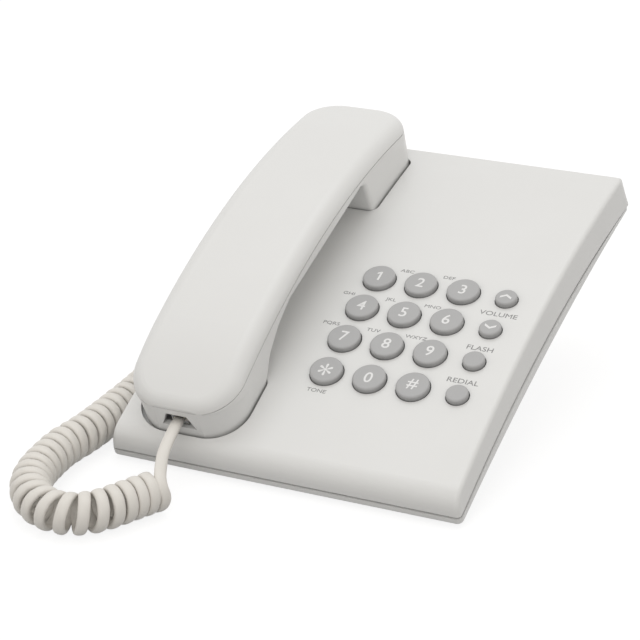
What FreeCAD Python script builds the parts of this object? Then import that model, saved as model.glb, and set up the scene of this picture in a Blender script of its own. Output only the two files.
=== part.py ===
import FreeCAD, Part
import math
import os
import Sketcher
from FreeCAD import Vector

# A corded desk telephone. A wedge-shaped base leans back on a narrow stand, the keypad is on its
# right, and the handset lies along its left side with a curly cord round the front left corner.
# Base and handset are drawn in the slab's own axes: X to the right, Y along the slab to its rear,
# Z square to the slab, origin over the middle of its lower face. The slab is then leaned back.

os.makedirs("parts", exist_ok=True)
doc = FreeCAD.newDocument("corded_telephone")
sheet = doc.addObject("Spreadsheet::Sheet", "Sizes")

SIZES = {
    # The base as a whole, and how it stands
    "tilt": 19.5,
    "base_width": 150.6,
    "base_length": 200.0,
    "front_edge_back": 93.1,
    "foot_height": 1.2,
    "wall": 2.0,
    "fit": 0.3,
    # The three long arcs seen from the side: top face, parting line and lower edge
    "top_middle": 19.3,
    "top_ends": 11.9,
    "seam_front": 3.3,
    "seam_rear": -2.6,
    "seam_rise": 6.9,
    "seam_gap": 0.9,
    "under_front": 0.0,
    "under_rear": -5.0,
    "under_rise": 5.0,
    "wall_draft": 7.5,
    "front_roll": 8.0,
    "front_wall": 6.0,
    "edge_round": 2.0,
    "band_inset": 0.3,
    "band_corner": 2.5,
    "rear_corner": 4.0,
    "lip": 1.3,
    "lip_rise": 2.2,
    # Keypad: columns 1-4-7-star, 2-5-8-0, 3-6-9-hash and the small function keys
    "key_column": 0.9,
    "key_pitch": 18.52,
    "key_row": -50.9,
    "row_pitch": 18.38,
    "key_size": 13.5,
    "small_column": 56.5,
    "small_size": 9.0,
    "key_gap": 0.7,
    "key_proud": 2.3,
    "key_edge": 0.8,
    "key_wall": 1.4,
    "key_under": 2.15,
    "flange": 1.25,
    "flange_thick": 1.1,
    "key_post": 1.6,
    "post_drop": 3.7,
    "keypad_middle": -23.3,
    "membrane_top": 6.1,
    "membrane_thick": 1.2,
    "board_thick": 1.6,
    "board_left": -10.0,
    "board_right": 70.0,
    "board_half_length": 60.0,
    "membrane_side": 6.0,
    "membrane_rear": 26.0,
    "board_screw_length": 6.0,
    "post_inset": 3.5,
    # Cradles for the two ends of the handset
    "handset_middle": -44.3,
    "cradle_depth": 3.0,
    "ear_cradle_half": 25.0,
    "ear_cradle_front": 46.9,
    "ear_cradle_rear": 89.7,
    "mouth_cradle_half": 24.0,
    "mouth_cradle_front": -93.5,
    "mouth_cradle_rear": -58.5,
    "cradle_corner": 4.5,
    "mouth_cradle_corner": 16.0,
    # Hook plunger and its switch
    "hook_along": 68.0,
    "hook_size": 6.0,
    "hook_top": 2.5,
    "hook_collar": 9.0,
    "hook_collar_depth": 10.3,
    "hook_switch_high": 3.2,
    "ringer_along": 10.0,
    "ringer_size": 27.0,
    "ringer_thick": 3.6,
    "ringer_hole": 2.4,
    "ringer_hole_pitch": 5.5,
    # Handset
    "handset_half": 24.0,
    "nose_along": -94.2,
    "nose_height": 29.5,
    "nose_rise": 1.34,
    "brow_along": -58.0,
    "brow_height": 41.5,
    "crown_rise": 9.5,
    "tail_along": 99.5,
    "tail_height": 32.0,
    "ear_rear": 87.6,
    "ear_front": 47.7,
    "ear_lean": 3.0,
    "ear_corner": 17.0,
    "ear_round": 5.0,
    "neck_along": -32.0,
    "chin_along": -44.0,
    "chin_height": 31.5,
    "throat_along": -54.7,
    "throat_height": 25.5,
    "throat_round": 9.0,
    "mouth_rear": -63.0,
    "mouth_front": -92.3,
    "mouth_corner": 17.0,
    "mouth_taper": 1.3,
    "taper_top": 26.0,
    "seat_depth": 2.2,
    "seat_rise": 0.3,
    "handle_under": 35.0,
    "handle_round": 2.0,
    "handset_round": 6.5,
    "handset_wall": 2.3,
    "part_line_gap": 0.3,
    "part_line_front": 23.4,
    "part_line_rear": 25.4,
    "part_line_rise": 16.0,
    "handset_screw_along": 30.0,
    "handset_screw_length": 6.5,
    "hear_hole": 2.2,
    "hear_spread": 6.5,
    "speak_hole": 1.6,
    "mic_across": -11.6,
    "mic_along": -77.0,
    "notch_low_half": 7.5,
    "notch_top_half": 4.5,
    "socket_front_along": -89.0,
    "handset_jack_height": 19.7,
    "handset_plug_thick": 5.8,
    "speaker_size": 32.0,
    "speaker_thick": 6.0,
    "gasket_thick": 1.0,
    "mic_size": 9.7,
    "mic_thick": 5.5,
    "weight_half": 8.0,
    "weight_half_length": 24.0,
    "weight_thick": 3.0,
    # Sockets and switches in the walls
    "jack_height": 12.2,
    "plug_width": 7.6,
    "plug_thick": 6.4,
    "plug_length": 11.7,
    "plug_reach": 2.6,
    "latch_half": 1.6,
    "latch_thick": 1.2,
    "jack_wall": 1.0,
    "jack_length": 13.5,
    "line_across": 40.0,
    "line_height": 5.6,
    "line_width": 10.0,
    "line_thick": 6.8,
    "ringer_across": -24.0,
    "mode_across": 4.0,
    "switch_height": 5.6,
    "slider_width": 4.0,
    "slider_thick": 2.6,
    "slider_proud": 1.2,
    "slider_travel": 2.0,
    # Stand, feet and fixings
    "stand_half": 38.0,
    "stand_near": -36.0,
    "stand_far": 70.0,
    "stand_rise": 1.4,
    "stand_wall": 2.4,
    "keyhole_spacing": 83.0,
    "keyhole_head": 9.0,
    "keyhole_neck": 4.6,
    "foot_size": 10.0,
    "screw_size": 2.6,
    "screw_head": 5.2,
    "screw_head_high": 1.6,
    "base_screw_side": 62.0,
    "base_screw_front": 87.0,
    "base_screw_length": 9.0,
    # Cord
    "cord_size": 3.4,
    "curl_radius": 6.4,
    "coil_height": 8.3,
}


class Size:
    """A number that also remembers the sheet formula it comes from."""

    def __init__(self, value, text):
        self.value = float(value)
        self.text = text

    def join(self, other, sign, value):
        return Size(value, "({} {} {})".format(self.text, sign, formula(other)))

    def __add__(self, other):
        return self.join(other, "+", self.value + float(other))

    def __sub__(self, other):
        return self.join(other, "-", self.value - float(other))

    def __mul__(self, other):
        return self.join(other, "*", self.value * float(other))

    def __truediv__(self, other):
        return self.join(other, "/", self.value / float(other))

    def __neg__(self):
        return Size(-self.value, "(-1 * {})".format(self.text))

    def __float__(self):
        return self.value


def formula(value):
    return value.text if isinstance(value, Size) else repr(float(value))


def sine(angle):
    return Size(math.sin(math.radians(float(angle))), "sin({} * 1 deg)".format(formula(angle)))


def cosine(angle):
    return Size(math.cos(math.radians(float(angle))), "cos({} * 1 deg)".format(formula(angle)))


class Sheet:
    """The cells of the spreadsheet, each as a Size under its own name."""


s = Sheet()
for row, (name, value) in enumerate(SIZES.items(), 1):
    sheet.set("A{}".format(row), name)
    sheet.set("B{}".format(row), repr(value))
    sheet.setAlias("B{}".format(row), name)
    setattr(s, name, Size(value, "Sizes." + name))
doc.recompute()

half_width = s.base_width / 2
half_length = s.base_length / 2


# Building blocks

def bind(thing, prop, value):
    thing.setExpression(prop, formula(value))


def pose(x, y, z, turn=0.0, axis="1; 0; 0"):
    """Placement formula: a turn in degrees about an axis, then a shift."""
    spot = "; ".join(formula(value) for value in (x, y, z))
    return "placement(vector({}); rotation(vector({}); {}))".format(spot, axis, formula(turn))


leaned = pose(0.0, half_length * cosine(s.tilt) - s.front_edge_back,
              half_length * sine(s.tilt) + s.foot_height, s.tilt)


def place(thing, *poses):
    thing.setExpression("Placement", " * ".join(poses))
    return thing


def plane(body, role):
    return next(feature for feature in body.Origin.OriginFeatures if feature.Role == role)


def new_body(name):
    body = doc.addObject("PartDesign::Body", name)
    body.Label = name
    return body


def outline(body, role, name, path, lift=None):
    """Closed sketch on an origin plane. Each corner is (u, v), or (u, v, rise) where the run that
    starts there is an arc that bulges by rise to the right of the way it goes."""
    sketch = body.newObject("Sketcher::SketchObject", name)
    sketch.AttachmentSupport = (plane(body, role), [""])
    sketch.MapMode = "FlatFace"
    if lift is not None:
        bind(sketch, "AttachmentOffset.Base.z", lift)
    ends = []
    for index, (u, v, *rise) in enumerate(path):
        u_next, v_next = path[(index + 1) % len(path)][:2]
        first = Vector(float(u), float(v), 0)
        last = Vector(float(u_next), float(v_next), 0)
        if not rise:
            ends.append((sketch.addGeometry(Part.LineSegment(first, last), False), 1, 2))
            continue
        along = last - first
        middle = (first + last) * 0.5 + Vector(along.y, -along.x, 0).normalize() * float(rise[0])
        if float(rise[0]) > 0:
            ends.append((sketch.addGeometry(Part.Arc(first, middle, last), False), 1, 2))
        else:
            ends.append((sketch.addGeometry(Part.Arc(last, middle, first), False), 2, 1))
    for index, (line, start, stop) in enumerate(ends):
        u, v, *rise = path[index]
        u_next, v_next = path[(index + 1) % len(path)][:2]
        next_line, next_start, _ = ends[(index + 1) % len(path)]
        sketch.addConstraint(Sketcher.Constraint("Coincident", line, stop, next_line, next_start))
        for kind, value, axis in (("DistanceX", u, -2), ("DistanceY", v, -1)):
            if float(value) == 0.0:
                sketch.addConstraint(Sketcher.Constraint("PointOnObject", line, start, axis))
                continue
            number = sketch.addConstraint(Sketcher.Constraint(kind, -1, 1, line, start, float(value)))
            if isinstance(value, Size):
                bind(sketch, "Constraints[{}]".format(number), value)
        if rise:
            bulge = rise[0] if float(rise[0]) > 0 else rise[0] * -1.0
            across = (u_next - u) * (u_next - u) + (v_next - v) * (v_next - v)
            radius = across / bulge / 8.0 + bulge / 2.0
            number = sketch.addConstraint(Sketcher.Constraint("Radius", line, float(radius)))
            if isinstance(radius, Size):
                bind(sketch, "Constraints[{}]".format(number), radius)
    return sketch


QUARTER_BULGE = 1.0 - math.sqrt(0.5)    # how far a quarter circle bulges from its chord, by radius


def rounded(left, right, front, rear, near_radius, far_radius):
    """Corners of a rectangle in plan whose four corners are quarter circles."""
    near = near_radius * QUARTER_BULGE
    far = far_radius * QUARTER_BULGE
    return [(left + near_radius, front), (right - near_radius, front, near),
            (right, front + near_radius), (right, rear - far_radius, far),
            (right - far_radius, rear), (left + far_radius, rear, far),
            (left, rear - far_radius), (left, front + near_radius, near)]


def pad(body, name, sketch, length, both=False, taper=None):
    feature = body.newObject("PartDesign::Pad", name)
    feature.Profile = sketch
    bind(feature, "Length", length)
    if both:
        feature.SideType = "Symmetric"
    if taper is not None:
        bind(feature, "TaperAngle", taper)
    sketch.Visibility = False
    return feature


def pocket(body, name, sketch):
    """Cut a sketch right through the body, both ways."""
    feature = body.newObject("PartDesign::Pocket", name)
    feature.Profile = sketch
    feature.Type = "ThroughAll"
    feature.SideType = "Symmetric"
    sketch.Visibility = False
    return feature


def turned(name, path):
    """Body made by turning an outline of (radius, height) corners about its own Z axis."""
    body = new_body(name)
    profile = outline(body, "XZ_Plane", name + "_outline", path)
    feature = body.newObject("PartDesign::Revolution", name + "_turned")
    feature.Profile = profile
    feature.ReferenceAxis = (profile, ["V_Axis"])
    feature.Angle = 360.0
    return body


def fillet(body, name, radius, wanted, widest_first=False):
    """Round the edges of the body's last feature for which wanted(middle, size) is true.
    A rim that closes on itself holds together when its widest edges are named first."""
    doc.recompute()
    base = body.Tip
    found = []
    for number, edge in enumerate(base.Shape.Edges, 1):
        box = edge.BoundBox
        if wanted(edge.CenterOfMass, Vector(box.XLength, box.YLength, box.ZLength)):
            found.append((-round(box.XLength, 2) if widest_first else 0, number))
    feature = body.newObject("PartDesign::Fillet", name)
    feature.Base = (base, ["Edge{}".format(number) for _, number in sorted(found)])
    bind(feature, "Radius", radius)
    return feature


def block(name, left, right, front, rear, low, high):
    box = doc.addObject("Part::Box", name)
    bind(box, "Length", right - left)
    bind(box, "Width", rear - front)
    bind(box, "Height", high - low)
    return place(box, pose(left, front, low))


def rod(name, diameter, length, *poses):
    cylinder = doc.addObject("Part::Cylinder", name)
    bind(cylinder, "Radius", diameter / 2)
    bind(cylinder, "Height", length)
    return place(cylinder, *poses)


def fuse(name, shapes):
    joined = doc.addObject("Part::MultiFuse", name)
    joined.Shapes = shapes
    return joined


def common(name, base, tool):
    shared = doc.addObject("Part::Common", name)
    shared.Base = base
    shared.Tool = tool
    return shared


def cut(name, base, tools):
    result = doc.addObject("Part::Cut", name)
    result.Base = base
    result.Tool = fuse(name + "_tools", tools) if len(tools) > 1 else tools[0]
    return result


nodes = []


def finished(thing, name, *poses):
    """Give a finished piece its node name and its place in the leaned slab."""
    thing.Label = name
    place(thing, *(poses or (leaned,)))
    nodes.append(thing)
    return thing


def lifted(arc, by):
    return arc[0] + by, arc[1] + by, arc[2]


top_arc = (s.top_ends, s.top_ends, s.top_middle - s.top_ends)
seam_arc = (s.seam_front, s.seam_rear, s.seam_rise)
under_arc = (s.under_front, s.under_rear, s.under_rise)


def top_at(along):
    """Height of the top face at a distance along the slab."""
    share = along / half_length
    return s.top_middle - (s.top_middle - s.top_ends) * share * share


def slope_at(along):
    """Lean of the top face there, in degrees about X."""
    drop = (s.top_ends - s.top_middle) * 2.0 * along / half_length / half_length
    return Size(math.degrees(math.atan(float(drop))), "(atan({}) / 1 deg)".format(formula(drop)))


def on_top(across, along, height=0.0):
    """Placement formula of a spot square to the curved top face."""
    lean = slope_at(along)
    return (pose(across, along, top_at(along), lean) + " * " + pose(0.0, 0.0, height))


def slab_form(name, side, front, rear, low, high, under, over, taper, corner=None):
    """Slab-shaped body: a plan rectangle inset from the base's outline, cut by two long arcs.
    Its two rear corners are rounded where a corner radius is given."""
    body = new_body(name)
    left, right = side - half_width, half_width - side
    near, far = front - half_length, half_length - rear
    path = [(left, near), (right, near), (right, far), (left, far)]
    if corner is not None:
        bulge = corner * QUARTER_BULGE
        path = [(left, near), (right, near), (right, far - corner, bulge), (right - corner, far),
                (left + corner, far, bulge), (left, far - corner)]
    plan = outline(body, "XY_Plane", name + "_plan", path, low)
    pad(body, name + "_block", plan, high - low, taper=taper)
    out = half_length * 1.2
    start, stop, rise = over
    above = outline(body, "YZ_Plane", name + "_above", [
        (-out, high * 2), (-out, start), (-half_length, start, -rise), (half_length, stop),
        (out, stop), (out, high * 2)])
    pocket(body, name + "_top", above)
    if under:
        start, stop, rise = under
        deep = s.base_length * -0.2
        below = outline(body, "YZ_Plane", name + "_below", [
            (-out, deep), (out, deep), (out, stop), (half_length, stop, rise),
            (-half_length, start), (-out, start)])
        pocket(body, name + "_under", below)
    return body


# Base: upper housing

zero = Size(0.0, "0.0")
slab_high = s.top_middle * 1.4
skirt = s.seam_rear * 2.0
draft = sine(s.wall_draft) / cosine(s.wall_draft)
flare = skirt * draft

upper = slab_form("upper_form", flare, flare, flare, skirt, slab_high,
                  lifted(seam_arc, s.seam_gap / 2), top_arc, -s.wall_draft, s.rear_corner)
fillet(upper, "front_roll", s.front_roll,
       lambda middle, length: middle.y < -95 and middle.z > 8 and length.x > 100)


def upper_soft_edge(middle, length):
    at_seam = length.z < 12 and middle.z < 9 and (length.x > 100 or length.y > 100)
    at_rear_corner = middle.y > 92 and (length.z > 5 or middle.z < 3)
    return not at_seam and not at_rear_corner and not (length.x > 100 and middle.y < 0)


fillet(upper, "upper_soft", s.edge_round, upper_soft_edge)
hollow = slab_form("upper_hollow", s.wall + flare, s.front_wall + flare, s.wall + flare, skirt,
                   slab_high, None, lifted(top_arc, -s.wall), -s.wall_draft)

ear_left = s.handset_middle - s.ear_cradle_half
ear_right = s.handset_middle + s.ear_cradle_half
mouth_left = s.handset_middle - s.mouth_cradle_half
mouth_right = s.handset_middle + s.mouth_cradle_half


def cradle(name, left, right, front, rear, depth, near_corner, far_corner):
    """Shallow tub whose floor follows the top face, as a body to cut or to add."""
    body = new_body(name)
    plan = outline(body, "XY_Plane", name + "_plan",
                   rounded(left, right, front, rear, near_corner, far_corner))
    pad(body, name + "_block", plan, s.top_middle * 2)
    out = half_length * 1.2
    start, stop, rise = lifted(top_arc, -depth)
    deep = s.base_length * -0.2
    below = outline(body, "YZ_Plane", name + "_below", [
        (-out, deep), (out, deep), (out, stop), (half_length, stop, rise),
        (-half_length, start), (-out, start)])
    pocket(body, name + "_floor", below)
    return body


tub_corner = s.cradle_corner + s.wall
ear_tub = cradle("ear_tub", ear_left - s.wall, ear_right + s.wall, s.ear_cradle_front - s.wall,
                 s.ear_cradle_rear + s.wall, s.cradle_depth + s.wall, tub_corner, tub_corner)
mouth_tub = cradle("mouth_tub", mouth_left - s.wall, mouth_right + s.wall,
                   s.mouth_cradle_front + s.wall, s.mouth_cradle_rear + s.wall,
                   s.cradle_depth + s.wall, s.cradle_corner, tub_corner)
ear_well = cradle("ear_well", ear_left, ear_right, s.ear_cradle_front, s.ear_cradle_rear,
                  s.cradle_depth, s.cradle_corner, s.cradle_corner)
mouth_well = cradle("mouth_well", mouth_left, mouth_right, s.mouth_cradle_front,
                    s.mouth_cradle_rear, s.cradle_depth, s.mouth_cradle_corner, s.cradle_corner)
upper_shell = cut("upper_shell", upper, [hollow])
tub_mass = common("tub_mass", fuse("tubs", [ear_tub, mouth_tub]), upper)
upper_mass = fuse("upper_mass", [upper_shell, tub_mass])

# Keys and the holes they stand in

ROWS = ("star 0 hash".split(), "7 8 9".split(), "4 5 6".split(), "1 2 3".split())
SMALL_KEYS = ("redial_key", "flash_key", "volume_down_key", "volume_up_key")


def key(name, diameter, across, along):
    """Round hollow cap with a flange below the face and a post that presses the membrane."""
    radius = diameter / 2
    shoulder = s.key_under + s.flange_thick
    inside = radius - s.key_wall
    body = turned(name, [
        (0.0, s.key_proud),
        (radius - s.key_edge, s.key_proud, s.key_edge * -QUARTER_BULGE),
        (radius, s.key_proud - s.key_edge),
        (radius, -s.key_under),
        (radius + s.flange, -s.key_under),
        (radius + s.flange, -shoulder),
        (inside, -shoulder),
        (inside, s.key_proud - s.key_wall),
        (s.key_post, s.key_proud - s.key_wall),
        (s.key_post, -s.post_drop),
        (0.0, -s.post_drop),
    ])
    finished(body, name, leaned, on_top(across, along))


def key_hole(name, diameter, across, along):
    depth = s.wall * 2
    return rod(name + "_hole", diameter + s.key_gap, depth * 2, on_top(across, along, -depth))


holes = []
for row, labels in enumerate(ROWS):
    along = s.key_row + s.row_pitch * float(row)
    for column, label in enumerate(labels):
        across = s.key_column + s.key_pitch * float(column)
        key("key_" + label, s.key_size, across, along)
        holes.append(key_hole("key_" + label, s.key_size, across, along))
    key(SMALL_KEYS[row], s.small_size, s.small_column, along)
    holes.append(key_hole(SMALL_KEYS[row], s.small_size, s.small_column, along))

# Openings in the walls: handset jack on the left, line jack and two switches at the rear

jack_half = s.plug_width / 2 + s.fit
jack_low = s.jack_height - s.plug_thick / 2 - s.fit
jack_high = s.jack_height + s.plug_thick / 2 + s.fit
line_left = s.line_across - s.line_width / 2 - s.fit
line_right = s.line_across + s.line_width / 2 + s.fit
line_low = s.line_height - s.line_thick / 2 - s.fit
line_high = s.line_height + s.line_thick / 2 + s.fit
slot_half = s.slider_width / 2 + s.slider_travel + s.fit
slot_low = s.switch_height - s.slider_thick / 2 - s.fit
slot_high = s.switch_height + s.slider_thick / 2 + s.fit
rear_in = half_length - s.wall * 3
rear_out = half_length + s.wall

holes.append(block("handset_jack_opening", -half_width - s.wall, s.wall * 3 - half_width,
                   -jack_half, jack_half, jack_low, jack_high))
holes.append(block("line_jack_opening", line_left, line_right, rear_in, rear_out,
                   line_low, line_high))
for name, across in (("ringer", s.ringer_across), ("mode", s.mode_across)):
    holes.append(block(name + "_slot", across - slot_half, across + slot_half,
                       rear_in, rear_out, slot_low, slot_high))
hook_hole = rod("hook_hole", s.hook_size + s.fit * 2, s.cradle_depth * 4,
                on_top(s.handset_middle, s.hook_along, -s.cradle_depth * 3))


def under_at(along):
    """Height of the base's lower face at a distance along the slab."""
    share = along / half_length
    chord = (s.under_front + s.under_rear) / 2 + (s.under_rear - s.under_front) / 2 * share
    return chord + s.under_rise * (1.0 - float(share) ** 2)


base_screw_spots = [(-s.base_screw_side, s.neck_along * 1.5), (-s.base_screw_side, s.neck_along * -1.1),
                    (s.base_screw_side, s.hook_along * 1.15), (s.key_pitch, -s.base_screw_front)]
base_bosses = []
for number, (across, along) in enumerate(base_screw_spots, 1):
    low = under_at(along) + s.wall + s.fit * 1.2
    base_bosses.append(rod("base_boss_{}".format(number), s.screw_head + s.wall / 2,
                           top_at(along) - s.wall / 2 - low, pose(across, along, low)))
    holes.append(rod("base_pilot_{}".format(number), s.screw_size, s.base_screw_length,
                     pose(across, along, under_at(along))))
finished(cut("upper_housing", fuse("upper_with_bosses", [upper_mass] + base_bosses),
             [ear_well, mouth_well, hook_hole] + holes), "base_upper_housing")

# Base: lower housing, a tray with a lip that locates the upper one

band = slab_form("band_form", s.band_inset, s.band_inset, s.band_inset, s.under_rear * 2, slab_high,
                 under_arc, lifted(seam_arc, -s.seam_gap / 2), None, s.rear_corner)
fillet(band, "band_corners", s.band_corner,
       lambda middle, length: length.x < 1 and length.y < 1 and length.z > 2 and middle.y < 0)
fillet(band, "band_soft", s.fit * 3, lambda middle, length: middle.z < 3 and length.z < 5.2
       and (length.x > 100 and (middle.z < 1 and middle.y < 0 or middle.z < -3)
            or length.y > 100 and middle.z < 2))
lip_top = (s.seam_front + s.seam_rear) / 2 + s.seam_rise + s.lip_rise
lip_side = s.wall + lip_top * draft + s.fit
lip_front = s.front_wall + lip_top * draft + s.fit
lip = slab_form("lip_form", lip_side, lip_front, lip_side, s.under_rear * 2, slab_high,
                lifted(under_arc, s.wall / 2), lifted(seam_arc, s.lip_rise), None)
tray_hollow = slab_form("tray_hollow", lip_side + s.lip, lip_front + s.lip,
                        lip_side + s.lip, s.under_rear * 2, slab_high,
                        lifted(under_arc, s.wall), lifted(top_arc, s.wall), None)
tray = cut("tray", fuse("tray_mass", [band, lip]), [tray_hollow])

keypad_frame = pose(0.0, s.keypad_middle, top_at(s.keypad_middle), slope_at(s.keypad_middle))
board_top = s.membrane_top + s.membrane_thick
board_under = board_top + s.board_thick
post_left = s.board_left + s.post_inset
post_right = s.board_right - s.post_inset
post_end = s.board_half_length - s.post_inset
post_spots = [(post_left, -post_end), (post_right, -post_end),
              (post_left, post_end), (post_right, post_end)]
post_length = s.wall * 5
posts = [rod("board_post_{}".format(number), s.screw_head + 1.0, post_length,
             keypad_frame, pose(across, along, -board_under - post_length))
         for number, (across, along) in enumerate(post_spots, 1)]
tray_envelope = slab_form("tray_envelope", s.wall * 2, s.wall * 4, s.wall * 2, s.under_rear * 2,
                          slab_high, lifted(under_arc, s.wall / 2), lifted(top_arc, -s.wall), None)
trimmed_posts = common("trimmed_posts", fuse("posts", posts), tray_envelope)
pilots = [rod("pilot_{}".format(number), s.screw_size, post_length * 0.5,
              keypad_frame, pose(across, along, -board_under - post_length * 0.5))
          for number, (across, along) in enumerate(post_spots, 1)]
switch_gap = block("rear_gap", s.ringer_across - slot_half * 2, line_right + s.wall * 2,
                   half_length - s.wall * 6, half_length - s.band_inset - s.wall * 0.9,
                   zero, slab_high)
side_gap = block("side_gap", s.band_inset + s.wall * 0.9 - half_width, s.wall * 10 - half_width,
                 -jack_half - s.wall, jack_half + s.wall, jack_low - s.jack_wall - s.fit, slab_high)
pilots += [rod("base_screw_way_{}".format(number), s.screw_size, s.wall * 4,
               pose(across, along, under_at(along) - s.wall))
           for number, (across, along) in enumerate(base_screw_spots, 1)]
# Nine sound holes under the ringer, clear of the stand
for number in range(9):
    across = s.handset_middle - s.ringer_hole_pitch * float(number % 3)
    along = s.ringer_along + s.ringer_hole_pitch * float(number // 3 - 1)
    pilots.append(rod("sound_hole_{}".format(number + 1), s.ringer_hole, s.wall * 3,
                      pose(across, along, under_at(along) - s.wall)))
finished(cut("lower_housing", fuse("tray_and_posts", [tray, trimmed_posts]),
             pilots + [switch_gap, side_gap]), "base_lower_housing")

# Inside the base: circuit board, membrane and their screws


def drilled(name, plate, spots, size, low, high):
    drills = [rod("{}_drill_{}".format(name, number), size, high - low + s.wall * 2,
                  pose(across, along, low - s.wall))
              for number, (across, along) in enumerate(spots, 1)]
    return cut(name + "_drilled", plate, drills)


def screws(name, spots, length, *poses):
    """Set of pan-head screws in one node: heads up, shanks down from each spot."""
    pieces = []
    for number, (across, along, height) in enumerate(spots, 1):
        label = "{}_{}".format(name, number)
        pieces.append(rod(label + "_shank", s.screw_size, length, pose(across, along, height - length)))
        pieces.append(rod(label + "_head", s.screw_head, s.screw_head_high, pose(across, along, height)))
    return finished(fuse(name + "_set", pieces), name, *poses)


board = block("board_plate", s.board_left, s.board_right, -s.board_half_length, s.board_half_length,
              -board_under, -board_top)
finished(drilled("board", board, post_spots, s.screw_size, -board_under, -board_top),
         "main_circuit_board", leaned, keypad_frame)
membrane_left = s.board_left + s.membrane_side
membrane_front = s.membrane_side - s.board_half_length
finished(block("membrane_sheet", membrane_left, s.board_right - s.membrane_side,
               membrane_front, s.board_half_length - s.membrane_rear, -board_top, -s.membrane_top),
         "keypad_membrane", leaned, keypad_frame, pose(membrane_left, membrane_front, -board_top))
screws("board_screws", [(across, along, -board_top) for across, along in post_spots],
       s.board_screw_length, leaned, keypad_frame)

# Hook plunger, its switch and the ringer

finished(turned("hook_plunger", [
    (0.0, -s.hook_top),
    (s.hook_size / 2 - s.key_edge, -s.hook_top, s.key_edge * -QUARTER_BULGE),
    (s.hook_size / 2, -s.hook_top - s.key_edge),
    (s.hook_size / 2, -s.hook_collar_depth),
    (s.hook_collar / 2, -s.hook_collar_depth),
    (s.hook_collar / 2, -s.hook_collar_depth - s.flange_thick),
    (0.0, -s.hook_collar_depth - s.flange_thick),
]), "hook_plunger", leaned, on_top(s.handset_middle, s.hook_along))
under_hook = -s.hook_collar_depth - s.flange_thick - s.fit
finished(block("hook_switch_body", -s.hook_collar, s.hook_collar, -s.hook_collar / 2, s.hook_collar / 2,
               under_hook - s.hook_switch_high, under_hook),
         "hook_switch", leaned, on_top(s.handset_middle, s.hook_along),
         pose(-s.hook_collar, -s.hook_collar / 2, under_hook - s.hook_switch_high))

ringer_floor = under_at(s.ringer_along) + s.wall + s.fit * 3
finished(turned("ringer_disc", [(0.0, s.ringer_thick), (s.ringer_size / 2, s.ringer_thick),
                                (s.ringer_size / 2, 0.0), (0.0, 0.0)]),
         "ringer_disc", leaned, pose(s.handset_middle, s.ringer_along, ringer_floor))

# Sockets and wall switches


def socket(name, length, wide, thick, label, *poses):
    """Jack block that opens toward -Y, with its mouth at the local origin."""
    shell = block(name + "_shell", -wide / 2 - s.jack_wall, wide / 2 + s.jack_wall, zero, length,
                  -thick / 2 - s.jack_wall, thick / 2 + s.jack_wall)
    bore = block(name + "_bore", -wide / 2, wide / 2, -s.wall, length - s.jack_wall, -thick / 2, thick / 2)
    return finished(cut(name, shell, [bore]), label, *poses)


face_left = "placement(vector(0; 0; 0); rotation(vector(0; 0; 1); -90))"
face_rear = "placement(vector(0; 0; 0); rotation(vector(0; 0; 1); 180))"
left_wall_in = -half_width + s.wall + (s.jack_height + s.plug_thick) * draft + s.fit
rear_wall_in = half_length - s.wall - (s.line_height + s.line_thick) * draft - s.fit
socket("left_jack", s.jack_length, s.plug_width + s.fit * 2, s.plug_thick + s.fit * 2,
       "handset_jack_base", leaned, pose(left_wall_in, 0.0, s.jack_height), face_left)
socket("rear_jack", s.jack_length, s.line_width + s.fit * 2, s.line_thick + s.fit * 2,
       "line_jack", leaned, pose(s.line_across, rear_wall_in, s.line_height), face_rear)
for name, across in (("ringer_switch", s.ringer_across), ("dial_mode_switch", s.mode_across)):
    stem = block(name + "_stem", -s.slider_width / 2, s.slider_width / 2, -s.slider_proud,
                 s.wall * 2 + s.fit, -s.slider_thick / 2, s.slider_thick / 2)
    carriage = block(name + "_carriage", -s.slider_width, s.slider_width, s.wall + s.fit * 2,
                     s.wall * 2 + s.fit, -s.slider_thick, s.slider_thick)
    finished(fuse(name + "_slider", [stem, carriage]), name, leaned,
             pose(across, half_length - s.switch_height * draft, s.switch_height), face_rear)

# Handset: one outer form and one hollow, split by the long parting arc


def seat_at(along):
    return top_at(along) - s.seat_depth


def near(middle, along, height, reach=3.0):
    return abs(middle.y - along) < reach and abs(middle.z - height) < reach


def top_rim(middle, length):
    """The rim all round the handset's crown, while its body is still a plain block below."""
    if length.x > 10:
        return middle.z > 20 and length.z < 1 and length.x < 50
    at_side = length.y > 15 and middle.z > float(s.nose_height)
    at_corner = length.y > 5 and middle.z > 22
    return at_side or at_corner


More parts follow.
